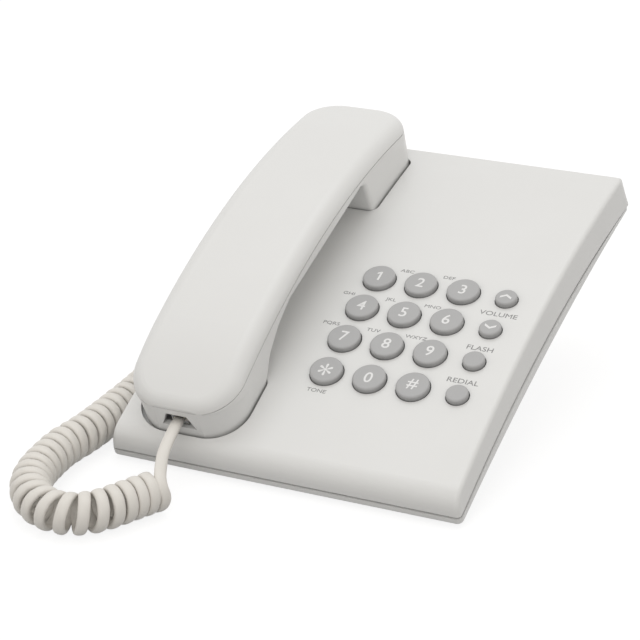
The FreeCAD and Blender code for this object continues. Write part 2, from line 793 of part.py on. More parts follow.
def handset_form(name, inset):
    """The handset's body, or its hollow when inset, about its own middle plane. Its upper rim is
    rounded before the underside is cut away."""
    body = new_body(name)
    half = s.handset_half - inset
    front = s.nose_along + inset
    rear = s.tail_along - inset * 2.0
    plan = outline(body, "XY_Plane", name + "_plan", rounded(
        -half, half, front, rear, s.mouth_corner - inset, s.ear_corner - inset), s.seam_front)
    pad(body, name + "_block", plan, s.brow_height * 1.5)
    out = half_length * 1.4
    tail_high = s.tail_height - inset * 0.6
    above = outline(body, "YZ_Plane", name + "_above", [
        (-out, s.nose_height - inset * 0.3), (front, s.nose_height - inset * 0.3, -s.nose_rise),
        (s.brow_along, s.brow_height - inset, -s.crown_rise), (rear, tail_high),
        (out, tail_high), (out, s.brow_height * 2), (-out, s.brow_height * 2)])
    pocket(body, name + "_top", above)
    fillet(body, name + "_soft", s.handset_round - inset, top_rim, widest_first=True)
    ear_face = s.ear_front + inset
    ear_back = s.ear_rear - inset * 0.9
    mouth_back = s.mouth_rear - inset * 0.9
    below = outline(body, "YZ_Plane", name + "_below", [
        (-out, -out), (out, -out), (out, tail_high), (rear, tail_high),
        (ear_back, seat_at(s.ear_rear) + inset, s.seat_rise),
        (ear_face, seat_at(s.ear_front) + inset),
        (ear_face - s.ear_lean, s.handle_under + inset),
        (s.neck_along, s.handle_under + inset),
        (s.chin_along - inset * 0.5, s.chin_height + inset),
        (s.throat_along - inset * 0.9, s.throat_height + inset * 0.6),
        (mouth_back, seat_at(s.mouth_rear) + inset),
        (s.mouth_front + inset, seat_at(s.mouth_front) + inset),
        (front, s.nose_height - inset * 0.3), (-out, s.nose_height - inset * 0.3)])
    pocket(body, name + "_under", below)
    return body


def mouth_trim(name, inset):
    """What is left round the mouthpiece when it is drawn in toward its seat, to be cut away."""
    half = s.handset_half - s.mouth_taper - inset
    seat = seat_at(s.mouth_front)
    rise = s.taper_top - seat
    draw = Size(math.degrees(math.atan(float(s.mouth_taper) / float(rise))),
                "(atan({} / {}) / 1 deg)".format(s.mouth_taper.text, formula(rise)))
    core = new_body(name + "_core")
    plan = outline(core, "XY_Plane", name + "_plan", rounded(
        -half, half, s.nose_along + s.mouth_taper + inset, s.neck_along, s.mouth_corner - inset, s.wall),
        seat)
    pad(core, name + "_core_block", plan, rise + s.wall, taper=draw)
    wide = s.handset_half * 1.5
    ring = block(name + "_block", -wide, wide, -half_length * 1.1, s.chin_along, seat - s.wall, s.taper_top)
    return cut(name, ring, [core])


form = handset_form("handset_form", zero)
fillet(form, "throat_round", s.throat_round, lambda middle, length: length.x > 40 and (
    near(middle, float(s.chin_along), float(s.chin_height))
    or near(middle, float(s.throat_along), float(s.throat_height))
    or near(middle, float(s.neck_along), float(s.handle_under))))
fillet(form, "ear_round", s.ear_round, lambda middle, length: length.x > 40 and near(
    middle, float(s.ear_front - s.ear_lean), float(s.handle_under)))
fillet(form, "handle_soft", s.handle_round, lambda middle, length: length.x < 0.1 and length.y > 60
       and abs(middle.z - float(s.handle_under)) < 0.5)
solid = cut("handset_solid", form, [mouth_trim("mouth_trim", zero)])
handset_hollow = cut("handset_room", handset_form("handset_hollow", s.handset_wall),
                     [mouth_trim("room_trim", s.handset_wall)])


def parting(name, side):
    """Everything above (side 1) or below (side -1) the parting arc of the handset."""
    body = new_body(name)
    out = half_length * 1.02
    edge = s.part_line_gap / 2 * side
    far = s.part_line_rear + s.brow_height * 1.5 * side
    path = [(-out, s.part_line_front + edge, -s.part_line_rise), (out, s.part_line_rear + edge),
            (out, far), (-out, far)]
    face = outline(body, "YZ_Plane", name + "_face", path)
    pad(body, name + "_block", face, s.handset_half * 4, both=True)
    return body


shell = cut("handset_shell", solid, [handset_hollow])
in_handset = pose(s.handset_middle, 0.0, 0.0)
boss_top = s.brow_height + s.wall * 1.5
inner_floor = s.handle_under + s.handset_wall
screw_spots = [-s.handset_screw_along, s.handset_screw_along]
bosses = [rod("boss_{}".format(number), s.screw_head + 1.2, boss_top - inner_floor,
              pose(0.0, along, inner_floor + s.fit)) for number, along in enumerate(screw_spots, 1)]
trimmed_bosses = common("trimmed_bosses", fuse("bosses", bosses), form)
boss_pilots = [rod("boss_pilot_{}".format(number), s.screw_size, s.handset_screw_length + s.fit,
                   pose(0.0, along, s.handle_under)) for number, along in enumerate(screw_spots, 1)]
outer = common("outer_half", shell, parting("above_line", 1.0))
finished(cut("outer_shell", fuse("outer_mass", [outer, trimmed_bosses]), boss_pilots),
         "handset_outer_shell", leaned, in_handset)

HEAR_HOLES = [(0.0, 0.0)] + [(math.cos(math.radians(60.0 * n)), math.sin(math.radians(60.0 * n)))
                             for n in range(6)]
hear = [rod("hear_hole_{}".format(number), s.hear_hole, s.handset_wall * 3,
            on_top(s.hear_spread * right, s.hook_along + s.hear_spread * forward, -s.seat_depth * 2))
        for number, (right, forward) in enumerate(HEAR_HOLES, 1)]
speak = [rod("speak_hole_{}".format(number), s.speak_hole, s.handset_wall * 3,
             on_top(s.mic_across + s.speak_hole * 2.0 * step, s.mic_along, -s.seat_depth * 2))
         for number, step in enumerate((-1.0, 0.0, 1.0), 1)]
screw_wells = [rod("screw_well_{}".format(number), s.screw_head + s.fit * 2, s.screw_head_high,
                   pose(0.0, along, s.handle_under - s.fit)) for number, along in enumerate(screw_spots, 1)]
screw_ways = [rod("screw_way_{}".format(number), s.screw_size + s.fit, s.handset_wall * 3,
                  pose(0.0, along, s.handle_under - s.fit)) for number, along in enumerate(screw_spots, 1)]
plug_low = s.handset_jack_height - s.handset_plug_thick / 2
notch = new_body("notch")
notch_face = outline(notch, "XZ_Plane", "notch_face", [
    (-s.notch_low_half, plug_low - s.fit), (s.notch_low_half, plug_low - s.fit),
    (s.notch_top_half, plug_low + s.handset_plug_thick + s.fit * 2),
    (-s.notch_top_half, plug_low + s.handset_plug_thick + s.fit * 2)], s.socket_front_along * -1.0)
pad(notch, "notch_block", notch_face, s.handset_wall * 5)
inner = common("inner_half", shell, parting("below_line", -1.0))
finished(cut("inner_shell", inner, hear + speak + screw_wells + screw_ways + [notch]),
         "handset_inner_shell", leaned, in_handset)

# Inside the handset


def disc(label, diameter, low, high, *poses, bore=None):
    """Round piece, or a ring where a bore is given, between two heights."""
    inner = bore / 2 if bore else 0.0
    return finished(turned(label, [(inner, high), (diameter / 2, high), (diameter / 2, low), (inner, low)]),
                    label, *poses)


hear_spot = on_top(0.0, s.hook_along)
speak_spot = on_top(s.mic_across, s.mic_along)
inside_floor = s.handset_wall - s.seat_depth + s.fit
disc("earpiece_gasket", s.speaker_size, inside_floor, inside_floor + s.gasket_thick,
     leaned, in_handset, hear_spot, bore=s.speaker_size - s.wall * 3)
disc("earpiece_speaker", s.speaker_size, inside_floor + s.gasket_thick,
     inside_floor + s.gasket_thick + s.speaker_thick, leaned, in_handset, hear_spot)
disc("microphone_boot", s.mic_size + s.wall, inside_floor, inside_floor + s.mic_thick,
     leaned, in_handset, speak_spot, bore=s.mic_size)
disc("microphone", s.mic_size, inside_floor + s.fit, inside_floor + s.mic_thick - s.fit,
     leaned, in_handset, speak_spot)
socket("front_jack", s.jack_length, s.plug_width + s.fit * 2, s.handset_plug_thick + s.fit * 2,
       "handset_socket", leaned, in_handset,
       pose(0.0, s.socket_front_along + s.fit / 3, s.handset_jack_height))
weight_low = s.handle_under + s.handset_wall + s.fit
finished(block("weight_bar", -s.weight_half, s.weight_half, -s.weight_half_length, s.weight_half_length,
               weight_low, weight_low + s.weight_thick),
         "handset_weight", leaned, in_handset, pose(-s.weight_half, -s.weight_half_length, weight_low))
face_down = "placement(vector(0; 0; 0); rotation(vector(1; 0; 0); 180))"
seated = -s.handle_under - s.screw_head_high + s.fit
screws("handset_screws", [(0.0, -along, seated) for along in screw_spots],
       s.handset_screw_length - s.screw_head_high, leaned, in_handset, face_down)

# Plugs on the two ends of the cord


def plug(label, thick, *poses):
    """Small clear plug: its body enters toward +Y from the local origin, the latch below it."""
    core = block(label + "_core", -s.plug_width / 2, s.plug_width / 2, zero, s.plug_length,
                 -thick / 2, thick / 2 - s.latch_thick)
    latch = block(label + "_latch", -s.latch_half, s.latch_half, s.plug_length * 0.1, s.plug_length * 0.9,
                  thick / 2 - s.latch_thick, thick / 2)
    return finished(fuse(label + "_body", [core, latch]), label, *poses)


plug_rear = s.socket_front_along - s.plug_reach
plug("handset_plug", s.handset_plug_thick, leaned, in_handset, pose(0.0, plug_rear, s.handset_jack_height))
base_plug_rear = -half_width - s.plug_reach
face_right = "placement(vector(0; 0; 0); rotation(vector(0; 0; 1); -90))"
plug("base_plug", s.plug_thick, leaned, pose(base_plug_rear, 0.0, s.jack_height), face_right)

# Stand: a hollow wedge under the slab, with keyholes for a wall and rubber feet for a desk


def leaned_point(along, height):
    """Where a point of the slab's side view comes to lie once the slab leans back."""
    reach = along + half_length
    return (reach * cosine(s.tilt) - height * sine(s.tilt) - s.front_edge_back,
            reach * sine(s.tilt) + height * cosine(s.tilt) + s.foot_height)


def stand_form(name, inset, floor, above):
    front_y, front_z = leaned_point(s.stand_near, under_at(s.stand_near) + above)
    rear_y, rear_z = leaned_point(s.stand_far, under_at(s.stand_far) + above)
    body = new_body(name)
    face = outline(body, "YZ_Plane", name + "_face", [
        (front_y + inset, floor), (rear_y - inset, floor),
        (rear_y - inset, rear_z, s.stand_rise), (front_y + inset, front_z)])
    pad(body, name + "_block", face, (s.stand_half - inset) * 2, both=True)
    return body


stand = stand_form("stand_form", zero, s.foot_height, s.fit * -0.2)
fillet(stand, "stand_corners", s.band_corner / 2, lambda middle, length: length.z > 15 and length.y < 1)
stand_room = stand_form("stand_room", s.stand_wall, s.foot_height + s.stand_wall, s.wall)
stand_middle = leaned_point((s.stand_near + s.stand_far) / 2, zero)[0]
keyholes = []
for number, side in enumerate((-1.0, 1.0), 1):
    spot = stand_middle + s.keyhole_spacing / 2 * side
    keyholes.append(rod("keyhole_{}".format(number), s.keyhole_head, s.stand_wall * 3,
                        pose(0.0, spot, 0.0)))
    keyholes.append(block("keyway_{}".format(number), -s.keyhole_neck / 2, s.keyhole_neck / 2,
                          spot, spot + s.keyhole_head, zero, s.stand_wall * 3))
finished(cut("stand_shell", stand, [stand_room] + keyholes), "desk_stand", pose(0.0, 0.0, 0.0))

stand_feet = []
for number, (side, end) in enumerate(((-1.0, -1.0), (1.0, -1.0), (1.0, 1.0), (-1.0, 1.0)), 1):
    stand_feet.append(rod("stand_foot_{}".format(number), s.foot_size, s.foot_height, pose(
        (s.stand_half - s.foot_size * 0.8) * side,
        stand_middle + (s.keyhole_spacing / 2 + s.wall) * end, 0.0)))
finished(fuse("stand_pads", stand_feet), "stand_feet", pose(0.0, 0.0, 0.0))

foot_along = s.foot_size * 1.1 - half_length
front_pads = [rod("front_foot_{}".format(number), s.foot_size, s.foot_size, pose(
    (half_width - s.foot_size * 1.5) * side, foot_along, under_at(foot_along) + s.fit - s.foot_size))
    for number, side in enumerate((-1.0, 1.0), 1)]
table = block("table", -s.base_width, s.base_width, -s.base_length, s.base_length, -s.base_length, zero)
untilt = pose(0.0, 0.0, 0.0, -s.tilt)
unlift = pose(0.0, s.front_edge_back - half_length * cosine(s.tilt),
              half_length * sine(s.tilt) * -1.0 - s.foot_height)
place(table, untilt, unlift, pose(-s.base_width, -s.base_length, -s.base_length))
finished(cut("front_pads", fuse("front_pad_rods", front_pads), [table, band]), "front_feet")

# Screws that close the base from below, beside the stand

screws("base_screws", [(across, -along, s.fit - under_at(along)) for across, along in base_screw_spots],
       s.base_screw_length, leaned, face_down)
doc.recompute()


# Cord: a curly middle and two plain leads, laid out in the room's axes on the table top

cord = SIZES["cord_size"]
curl = SIZES["curl_radius"]
front_back = SIZES["front_edge_back"]
up = Vector(0, 0, 1)

# Where the middle of the coil lies, measured from the front edge of the base: out from under the
# front of the handset, round the front left corner and back along the left wall, where it
# swings a little away from the wall
COIL_ROUTE = [
    (-36.1, -31.2), (-39.3, -37.1), (-42.3, -43.2), (-45.2, -49.5), (-49.0, -56.0), (-54.5, -60.8),
    (-61.0, -62.6), (-68.0, -61.5), (-75.0, -57.8), (-80.5, -51.8), (-84.9, -44.0), (-87.3, -35.3),
    (-88.3, -26.4), (-89.2, -15.3), (-87.8, -6.9), (-86.9, 1.8), (-86.6, 12.4), (-86.6, 26.0),
    (-86.8, 44.0), (-88.4, 62.0), (-92.0, 92.0),
]
# Pitch of the coil at a number of turns from the handset: close at first, fanned round the bend
COIL_PITCH = [(0.0, 4.9), (3.5, 5.7), (4.6, 7.0), (8.0, 7.0), (11.0, 6.3), (14.0, 5.8), (60.0, 5.7)]
COIL_TURNS = 34


def coil_axis():
    poles = [Vector(across, along - front_back, SIZES["coil_height"]) for across, along in COIL_ROUTE]
    knots = list(range(len(poles) - 1))
    curve = Part.BSplineCurve()
    curve.buildFromPolesMultsKnots(poles, [3] + [1] * (len(knots) - 2) + [3], knots, False, 2)
    return curve


axis_curve = coil_axis()


def travelled(turn):
    """Distance along the coil's middle after a number of turns."""
    total = 0.0
    for (start, pitch), (stop, next_pitch) in zip(COIL_PITCH, COIL_PITCH[1:]):
        part_turn = min(turn, stop) - start
        if part_turn <= 0:
            break
        total += part_turn * (pitch + (next_pitch - pitch) * part_turn / (stop - start) / 2)
    return total


def coil_point(turn):
    """The wire's middle: it starts at the top of its first curl and goes down in front."""
    where = axis_curve.parameterAtDistance(travelled(turn), axis_curve.FirstParameter)
    heading = axis_curve.tangent(where)[0]
    side = heading.cross(up).normalize()
    phase = 2 * math.pi * (turn + 0.25)
    return axis_curve.value(where) + (side * math.cos(phase) + up * math.sin(phase)) * curl


def coil_heading(turn):
    step = 0.0005
    return (coil_point(turn + step) - coil_point(max(turn - step, 0.0))).normalize()


def arc_from(start, heading, stop):
    """Arc that leaves start along heading and ends at stop."""
    chord = stop - start
    across = (heading - chord * (heading.dot(chord) / chord.dot(chord)))
    lean = math.atan2(across.Length, heading.dot(chord) / chord.Length)
    bulge = chord.Length / 2 * math.tan(lean / 2)
    return Part.Arc(start, (start + stop) * 0.5 + across.normalize() * bulge, stop).toShape()


def biarc(start, heading, stop, stop_heading):
    """Two arcs that meet smoothly between two points with given headings."""
    gap = stop - start
    both = heading + stop_heading
    spare = 2 * (1 - heading.dot(stop_heading))
    reach = (math.sqrt(gap.dot(both) ** 2 + spare * gap.dot(gap)) - gap.dot(both)) / spare
    meet = ((start + heading * reach) + (stop - stop_heading * reach)) * 0.5
    second = arc_from(stop, stop_heading * -1.0, meet)
    return [arc_from(start, heading, meet), second]


def tube(edges, start, heading, label):
    """Round cord along a chain of edges, as one solid; prints its volume beside what it should be."""
    wire = Part.Wire(Part.__sortEdges__(edges))
    section = Part.Wire(Part.Circle(start, heading, cord / 2).toShape())
    solid = wire.makePipeShell([section], True, False)
    if solid.Volume < 0:
        solid.reverse()
    print(label, "length", round(wire.Length, 1), "volume", round(solid.Volume, 1),
          "section by length", round(math.pi * cord * cord / 4 * wire.Length, 1))
    feature = doc.addObject("Part::Feature", label)
    feature.Shape = solid
    feature.Label = label
    nodes.append(feature)
    return feature


# The coil ends three quarters into its last curl, where the wire rises beside the base
quarters = COIL_TURNS * 4 + 3
stations = [(coil_point(quarter / 4), coil_heading(quarter / 4)) for quarter in range(quarters + 1)]
coil_start, start_heading = stations[0]
coil_stop, stop_heading = stations[-1]
lead_end = coil_start - start_heading * cord
lead_start = coil_stop + stop_heading * cord
coil_edges = [Part.LineSegment(lead_end, coil_start).toShape()]
for (start, heading), (stop, next_heading) in zip(stations, stations[1:]):
    coil_edges += biarc(start, heading, stop, next_heading)
coil_edges.append(Part.LineSegment(coil_stop, lead_start).toShape())
coil = tube(coil_edges, lead_end, start_heading, "handset_coil")
print("coil axis length", round(axis_curve.length(), 1), "used", round(travelled(quarters / 4), 1))


def self_gap():
    """Least clear distance between one curl of the wire and the next."""
    dots = [coil_point(step / 24) for step in range(quarters * 6)]
    least = 100.0
    for number, dot in enumerate(dots):
        for other in dots[number + 12:number + 60]:
            least = min(least, dot.distanceToPoint(other))
    return least - cord


print("least gap of the coil to itself", round(self_gap(), 2))


def lead(label, corners):
    """Plain cord: straight runs joined by arcs as large as the runs allow."""
    edges = []
    here = corners[0]
    radii = []
    for before, corner, after in zip(corners, corners[1:], corners[2:]):
        arriving = (corner - before).normalize()
        leaving = (after - corner).normalize()
        turn = arriving.getAngle(leaving)
        reach = 0.45 * min(before.distanceToPoint(corner), corner.distanceToPoint(after))
        radii.append(round(reach / math.tan(turn / 2), 1))
        entry = corner - arriving * reach
        leave = corner + leaving * reach
        edges.append(Part.LineSegment(here, entry).toShape())
        edges.append(arc_from(entry, arriving, leave))
        here = leave
    edges.append(Part.LineSegment(here, corners[-1]).toShape())
    print(label, "radii", radii)
    return tube(edges, corners[0], (corners[1] - corners[0]).normalize(), label)


def spot(across, along, height):
    """Room position of a point given in the slab's own axes."""
    y, z = leaned_point(zero + along, zero + height)
    return Vector(float(across), float(y), float(z))


plug_end = spot(s.handset_middle, plug_rear, s.handset_jack_height)
plug_away = (spot(s.handset_middle, plug_rear - 10.0, s.handset_jack_height) - plug_end).normalize()
HANDSET_LEAD = [
    (-44.8, -12.0, 17.9), (-45.3, -17.6, 16.2), (-44.6, -22.8, 15.1),
]
corners = [plug_end, plug_end + plug_away * 8.0]
corners += [Vector(across, along - front_back, height) for across, along, height in HANDSET_LEAD]
corners += [lead_end - start_heading * 4.0, lead_end]
lead("handset_lead", corners)

base_plug_end = spot(base_plug_rear, 0.0, s.jack_height)
BASE_LEAD = [
    (-87.5, 90.3, 25.5), (-92.3, 90.3, 33.0), (-93.0, 90.2, 40.8),
]
corners = [lead_start, lead_start + stop_heading * 6.0]
corners += [Vector(across, along - front_back, height) for across, along, height in BASE_LEAD]
corners += [base_plug_end - Vector(9.0, 0, 0), base_plug_end]
lead("base_lead", corners)
doc.recompute()
for thing in doc.Objects:
    if "Invalid" in thing.State or "Error" in thing.State:
        raise RuntimeError("{} did not build: {}".format(thing.Name, thing.State))
for thing in nodes:
    if thing.Shape.isNull() or not thing.Shape.isValid():
        raise RuntimeError("{} has no valid shape".format(thing.Label))

for thing in nodes:
    box = thing.Shape.optimalBoundingBox(False)
    print(thing.Label, len(thing.Shape.Solids), round(thing.Shape.Volume),
          [round(value, 1) for value in (box.XMin, box.XMax, box.YMin, box.YMax, box.ZMin, box.ZMax)])
    thing.Shape.exportStep("parts/{}.step".format(thing.Label))
print("parts written:", len(nodes))
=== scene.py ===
import math

import bmesh
import bpy
from mathutils import Matrix, Vector
from mathutils.bvhtree import BVHTree


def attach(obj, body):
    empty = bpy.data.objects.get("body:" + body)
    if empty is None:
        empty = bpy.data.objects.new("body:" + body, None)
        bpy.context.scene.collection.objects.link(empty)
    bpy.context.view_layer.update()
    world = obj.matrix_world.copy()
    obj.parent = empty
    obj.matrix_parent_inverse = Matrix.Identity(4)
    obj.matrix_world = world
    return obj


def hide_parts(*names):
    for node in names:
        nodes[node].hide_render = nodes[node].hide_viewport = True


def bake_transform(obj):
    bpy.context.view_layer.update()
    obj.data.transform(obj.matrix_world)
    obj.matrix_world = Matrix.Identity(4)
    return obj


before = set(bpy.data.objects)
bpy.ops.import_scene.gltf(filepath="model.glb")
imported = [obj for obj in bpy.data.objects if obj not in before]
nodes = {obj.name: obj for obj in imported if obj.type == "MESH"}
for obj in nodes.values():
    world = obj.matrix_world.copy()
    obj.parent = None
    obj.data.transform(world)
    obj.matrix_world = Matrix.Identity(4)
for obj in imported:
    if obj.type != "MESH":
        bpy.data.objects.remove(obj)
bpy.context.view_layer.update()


# Picture. The camera stands a little above the desk and to the right of the telephone, with a long
# lens and no shift. Its place was found by fitting the key grid and the outline of the base.

scene = bpy.context.scene
scene.view_settings.view_transform = "Standard"
azimuth = math.radians(25.83)
elevation = math.radians(23.20)
roll = math.radians(-1.01)
aim = Vector((-0.02179, -0.01118, 0.03641))
camera_distance = 0.9458
toward_camera = Vector((math.sin(azimuth) * math.cos(elevation),
                        -math.cos(azimuth) * math.cos(elevation), math.sin(elevation)))
level_right = Vector((math.cos(azimuth), math.sin(azimuth), 0.0))
level_up = toward_camera.cross(level_right)
camera_right = level_right * math.cos(roll) + level_up * math.sin(roll)
camera_up = level_up * math.cos(roll) - level_right * math.sin(roll)
camera_data = bpy.data.cameras.new("camera")
camera_data.sensor_width = 36.0
camera_data.lens = 128.8
camera = bpy.data.objects.new("camera", camera_data)
camera.matrix_world = Matrix.Translation(aim + toward_camera * camera_distance) @ Matrix(
    (camera_right, camera_up, toward_camera)).transposed().to_4x4()
scene.collection.objects.link(camera)
scene.camera = camera


# Studio. A white table top under a wide soft lamp, with a weaker one in front and a white room all
# round. Seen straight or in a reflection the room is paper white, and its own light is a plain one.


def link(tree, start, stop):
    tree.links.new(start, stop)


def seen_straight(tree):
    """1 for a ray from the camera, from a glossy surface or through a clear one."""
    path = tree.nodes.new("ShaderNodeLightPath")
    first = tree.nodes.new("ShaderNodeMath")
    first.operation = "MAXIMUM"
    second = tree.nodes.new("ShaderNodeMath")
    second.operation = "MAXIMUM"
    link(tree, path.outputs["Is Camera Ray"], first.inputs[0])
    link(tree, path.outputs["Is Glossy Ray"], first.inputs[1])
    link(tree, first.outputs[0], second.inputs[0])
    link(tree, path.outputs["Is Transmission Ray"], second.inputs[1])
    return second.outputs[0]


room_fill = 0.83
world = bpy.data.worlds.new("white_room")
world.use_nodes = True
scene.world = world
tree = world.node_tree
tree.nodes.clear()
fill = tree.nodes.new("ShaderNodeBackground")
fill.inputs["Color"].default_value = (1.0, 0.974, 0.942, 1.0)
fill.inputs["Strength"].default_value = room_fill
paper = tree.nodes.new("ShaderNodeBackground")
paper.inputs["Color"].default_value = (1.0, 1.0, 1.0, 1.0)
mix = tree.nodes.new("ShaderNodeMixShader")
link(tree, seen_straight(tree), mix.inputs[0])
link(tree, fill.outputs[0], mix.inputs[1])
link(tree, paper.outputs[0], mix.inputs[2])
link(tree, mix.outputs[0], tree.nodes.new("ShaderNodeOutputWorld").inputs[0])

table_half = 4.0
feet_clear = 0.0001
table_mesh = bpy.data.meshes.new("table_top")
table_mesh.from_pydata([(-table_half, -table_half, 0), (table_half, -table_half, 0),
                        (table_half, table_half, 0), (-table_half, table_half, 0)], [], [(0, 1, 2, 3)])
table = bpy.data.objects.new("table_top", table_mesh)
table.location.z = -feet_clear
scene.collection.objects.link(table)
table_white = bpy.data.materials.new("table_white")
table_white.use_nodes = True
tree = table_white.node_tree
tree.nodes.clear()
matt = tree.nodes.new("ShaderNodeBsdfDiffuse")
matt.inputs["Color"].default_value = (0.36, 0.36, 0.36, 1.0)
shadow_keeper = tree.nodes.new("ShaderNodeBsdfDiffuse")
shadow_keeper.inputs["Color"].default_value = (0.22, 0.22, 0.22, 1.0)
glow = tree.nodes.new("ShaderNodeEmission")
glow.inputs["Color"].default_value = (1.0, 1.0, 1.0, 1.0)
glow.inputs["Strength"].default_value = 0.84
both = tree.nodes.new("ShaderNodeAddShader")
mix = tree.nodes.new("ShaderNodeMixShader")
link(tree, shadow_keeper.outputs[0], both.inputs[0])
link(tree, glow.outputs[0], both.inputs[1])
link(tree, seen_straight(tree), mix.inputs[0])
link(tree, matt.outputs[0], mix.inputs[1])
link(tree, both.outputs[0], mix.inputs[2])
# From below the table is clear, so that the underside can be looked at
one_way = tree.nodes.new("ShaderNodeMixShader")
link(tree, tree.nodes.new("ShaderNodeNewGeometry").outputs["Backfacing"], one_way.inputs[0])
link(tree, mix.outputs[0], one_way.inputs[1])
link(tree, tree.nodes.new("ShaderNodeBsdfTransparent").outputs[0], one_way.inputs[2])
link(tree, one_way.outputs[0], tree.nodes.new("ShaderNodeOutputMaterial").inputs[0])
table_mesh.materials.append(table_white)


lamps_face = Vector((0.0, 0.0, 0.05))


def soft_lamp(name, place, size, power, colour):
    lamp = bpy.data.lights.new(name, "AREA")
    lamp.shape = "DISK"
    lamp.size = size
    lamp.energy = power
    lamp.color = colour
    carrier = bpy.data.objects.new(name, lamp)
    carrier.location = place
    carrier.rotation_mode = "QUATERNION"
    carrier.rotation_quaternion = (lamps_face - Vector(place)).to_track_quat("-Z", "Y")
    scene.collection.objects.link(carrier)


soft_lamp("overhead_softbox", (-0.12, 0.25, 1.45), 1.3, 4.6, (0.94, 0.975, 1.0))
soft_lamp("front_softbox", (0.25, -1.15, 0.55), 1.0, 1.9, (1.0, 0.98, 0.95))


# Handset cord. A flat white cord, wound into a close curl for most of its length and plain for a
# few centimetres at each end. It leaves the handset's nose, drops to the table, goes round the
# front left corner and back along the left wall, and ends in the jack in that wall.

cord_wide = 0.0048
cord_thick = 0.0030
curl_radius = 0.0067
curl_starts = 0.25
curl_turns = 35.75
points_per_turn = 24
curl_lie = 0.0085
curl_route = [
    (-0.0361, -0.1243), (-0.0393, -0.1302), (-0.0423, -0.1363), (-0.0452, -0.1426), (-0.0490, -0.1491),
    (-0.0545, -0.1539), (-0.0610, -0.1557), (-0.0680, -0.1546), (-0.0750, -0.1509), (-0.0805, -0.1449),
    (-0.0849, -0.1371), (-0.0873, -0.1284), (-0.0883, -0.1195), (-0.0892, -0.1084), (-0.0878, -0.1000),
    (-0.0869, -0.0913), (-0.0866, -0.0807), (-0.0866, -0.0671), (-0.0868, -0.0491), (-0.0884, -0.0311),
    (-0.0920, -0.0011),
]
# Advance of the curl in one turn, after a number of turns from the handset
curl_advance = [(0.0, 0.0049), (3.5, 0.0053), (5.0, 0.0058), (8.0, 0.0062), (11.0, 0.0060),
                (14.0, 0.0059), (60.0, 0.0058)]
handset_end = [(-0.0443, -0.0918, 0.0226), (-0.0438, -0.0979, 0.0208), (-0.0429, -0.1041, 0.0186),
               (-0.0412, -0.1114, 0.0170), (-0.0382, -0.1184, 0.0160), (-0.0345, -0.1262, 0.0150),
               (-0.0318, -0.1292, 0.0122)]
base_end = [(-0.0880, -0.0028, 0.0255), (-0.0896, -0.0028, 0.0335), (-0.0892, -0.0029, 0.0405),
            (-0.0853, -0.0029, 0.0457), (-0.0779, -0.0029, 0.0461)]


def smooth_line(name, points, steps):
    """Points read from a smooth curve with these control points."""
    curve = bpy.data.curves.new(name, "CURVE")
    curve.dimensions = "3D"
    spline = curve.splines.new("NURBS")
    spline.points.add(len(points) - 1)
    for point, place in zip(spline.points, points):
        point.co = (*place, 1.0)
    spline.order_u = 3
    spline.use_endpoint_u = True
    spline.resolution_u = steps
    carrier = bpy.data.objects.new(name, curve)
    mesh = bpy.data.meshes.new_from_object(carrier)
    line = [vertex.co.copy() for vertex in mesh.vertices]
    bpy.data.objects.remove(carrier)
    bpy.data.meshes.remove(mesh)
    return line


def distances(line):
    """Distance along a line at each of its points."""
    total = [0.0]
    for before, after in zip(line, line[1:]):
        total.append(total[-1] + (after - before).length)
    return total


def advanced(turn):
    """How far along the curl's middle a number of turns reaches."""
    total = 0.0
    for (start, pitch), (stop, next_pitch) in zip(curl_advance, curl_advance[1:]):
        share = min(turn, stop) - start
        if share <= 0.0:
            break
        total += share * (pitch + (next_pitch - pitch) * share / (stop - start) / 2.0)
    return total


up = Vector((0.0, 0.0, 1.0))
middle = smooth_line("curl_middle", [(x, y, curl_lie) for x, y in curl_route], 24)
middle_at = distances(middle)


def middle_point(distance):
    """Place and heading at a distance along the curl's middle."""
    index = 0
    while index < len(middle) - 2 and middle_at[index + 1] < distance:
        index += 1
    before, after = middle[index], middle[index + 1]
    share = (distance - middle_at[index]) / (middle_at[index + 1] - middle_at[index])
    return before.lerp(after, share), (after - before).normalized()


# The corners of a curve lie a little outside it, so they stand a little further out than the curl
corner_radius = curl_radius / math.cos(math.pi / points_per_turn)
curl = []
for step in range(round(curl_starts * points_per_turn), round(curl_turns * points_per_turn) + 1):
    turn = step / points_per_turn
    place, heading = middle_point(advanced(turn))
    side = heading.cross(up)
    phase = 2.0 * math.pi * (turn + 0.25)
    outward = side * math.cos(phase) + up * math.sin(phase)
    curl.append(place + outward * corner_radius)
leaving = (curl[-1] - curl[-2]).normalized()
route = [Vector(place) for place in handset_end] + curl
route += [curl[-1] + leaving * 0.0034, curl[-1] + leaving * 0.0094]
route += [Vector(place) for place in base_end]
cord_line = smooth_line("cord_line", route, 2)


def headings(line):
    """Unit vectors along a line at each of its points."""
    ends = [line[0]] + line + [line[-1]]
    return [(after - before).normalized() for before, after in zip(ends, ends[2:])]


def carried(vector, heading):
    """The vector turned square to a new heading."""
    return (vector - heading * vector.dot(heading)).normalized()


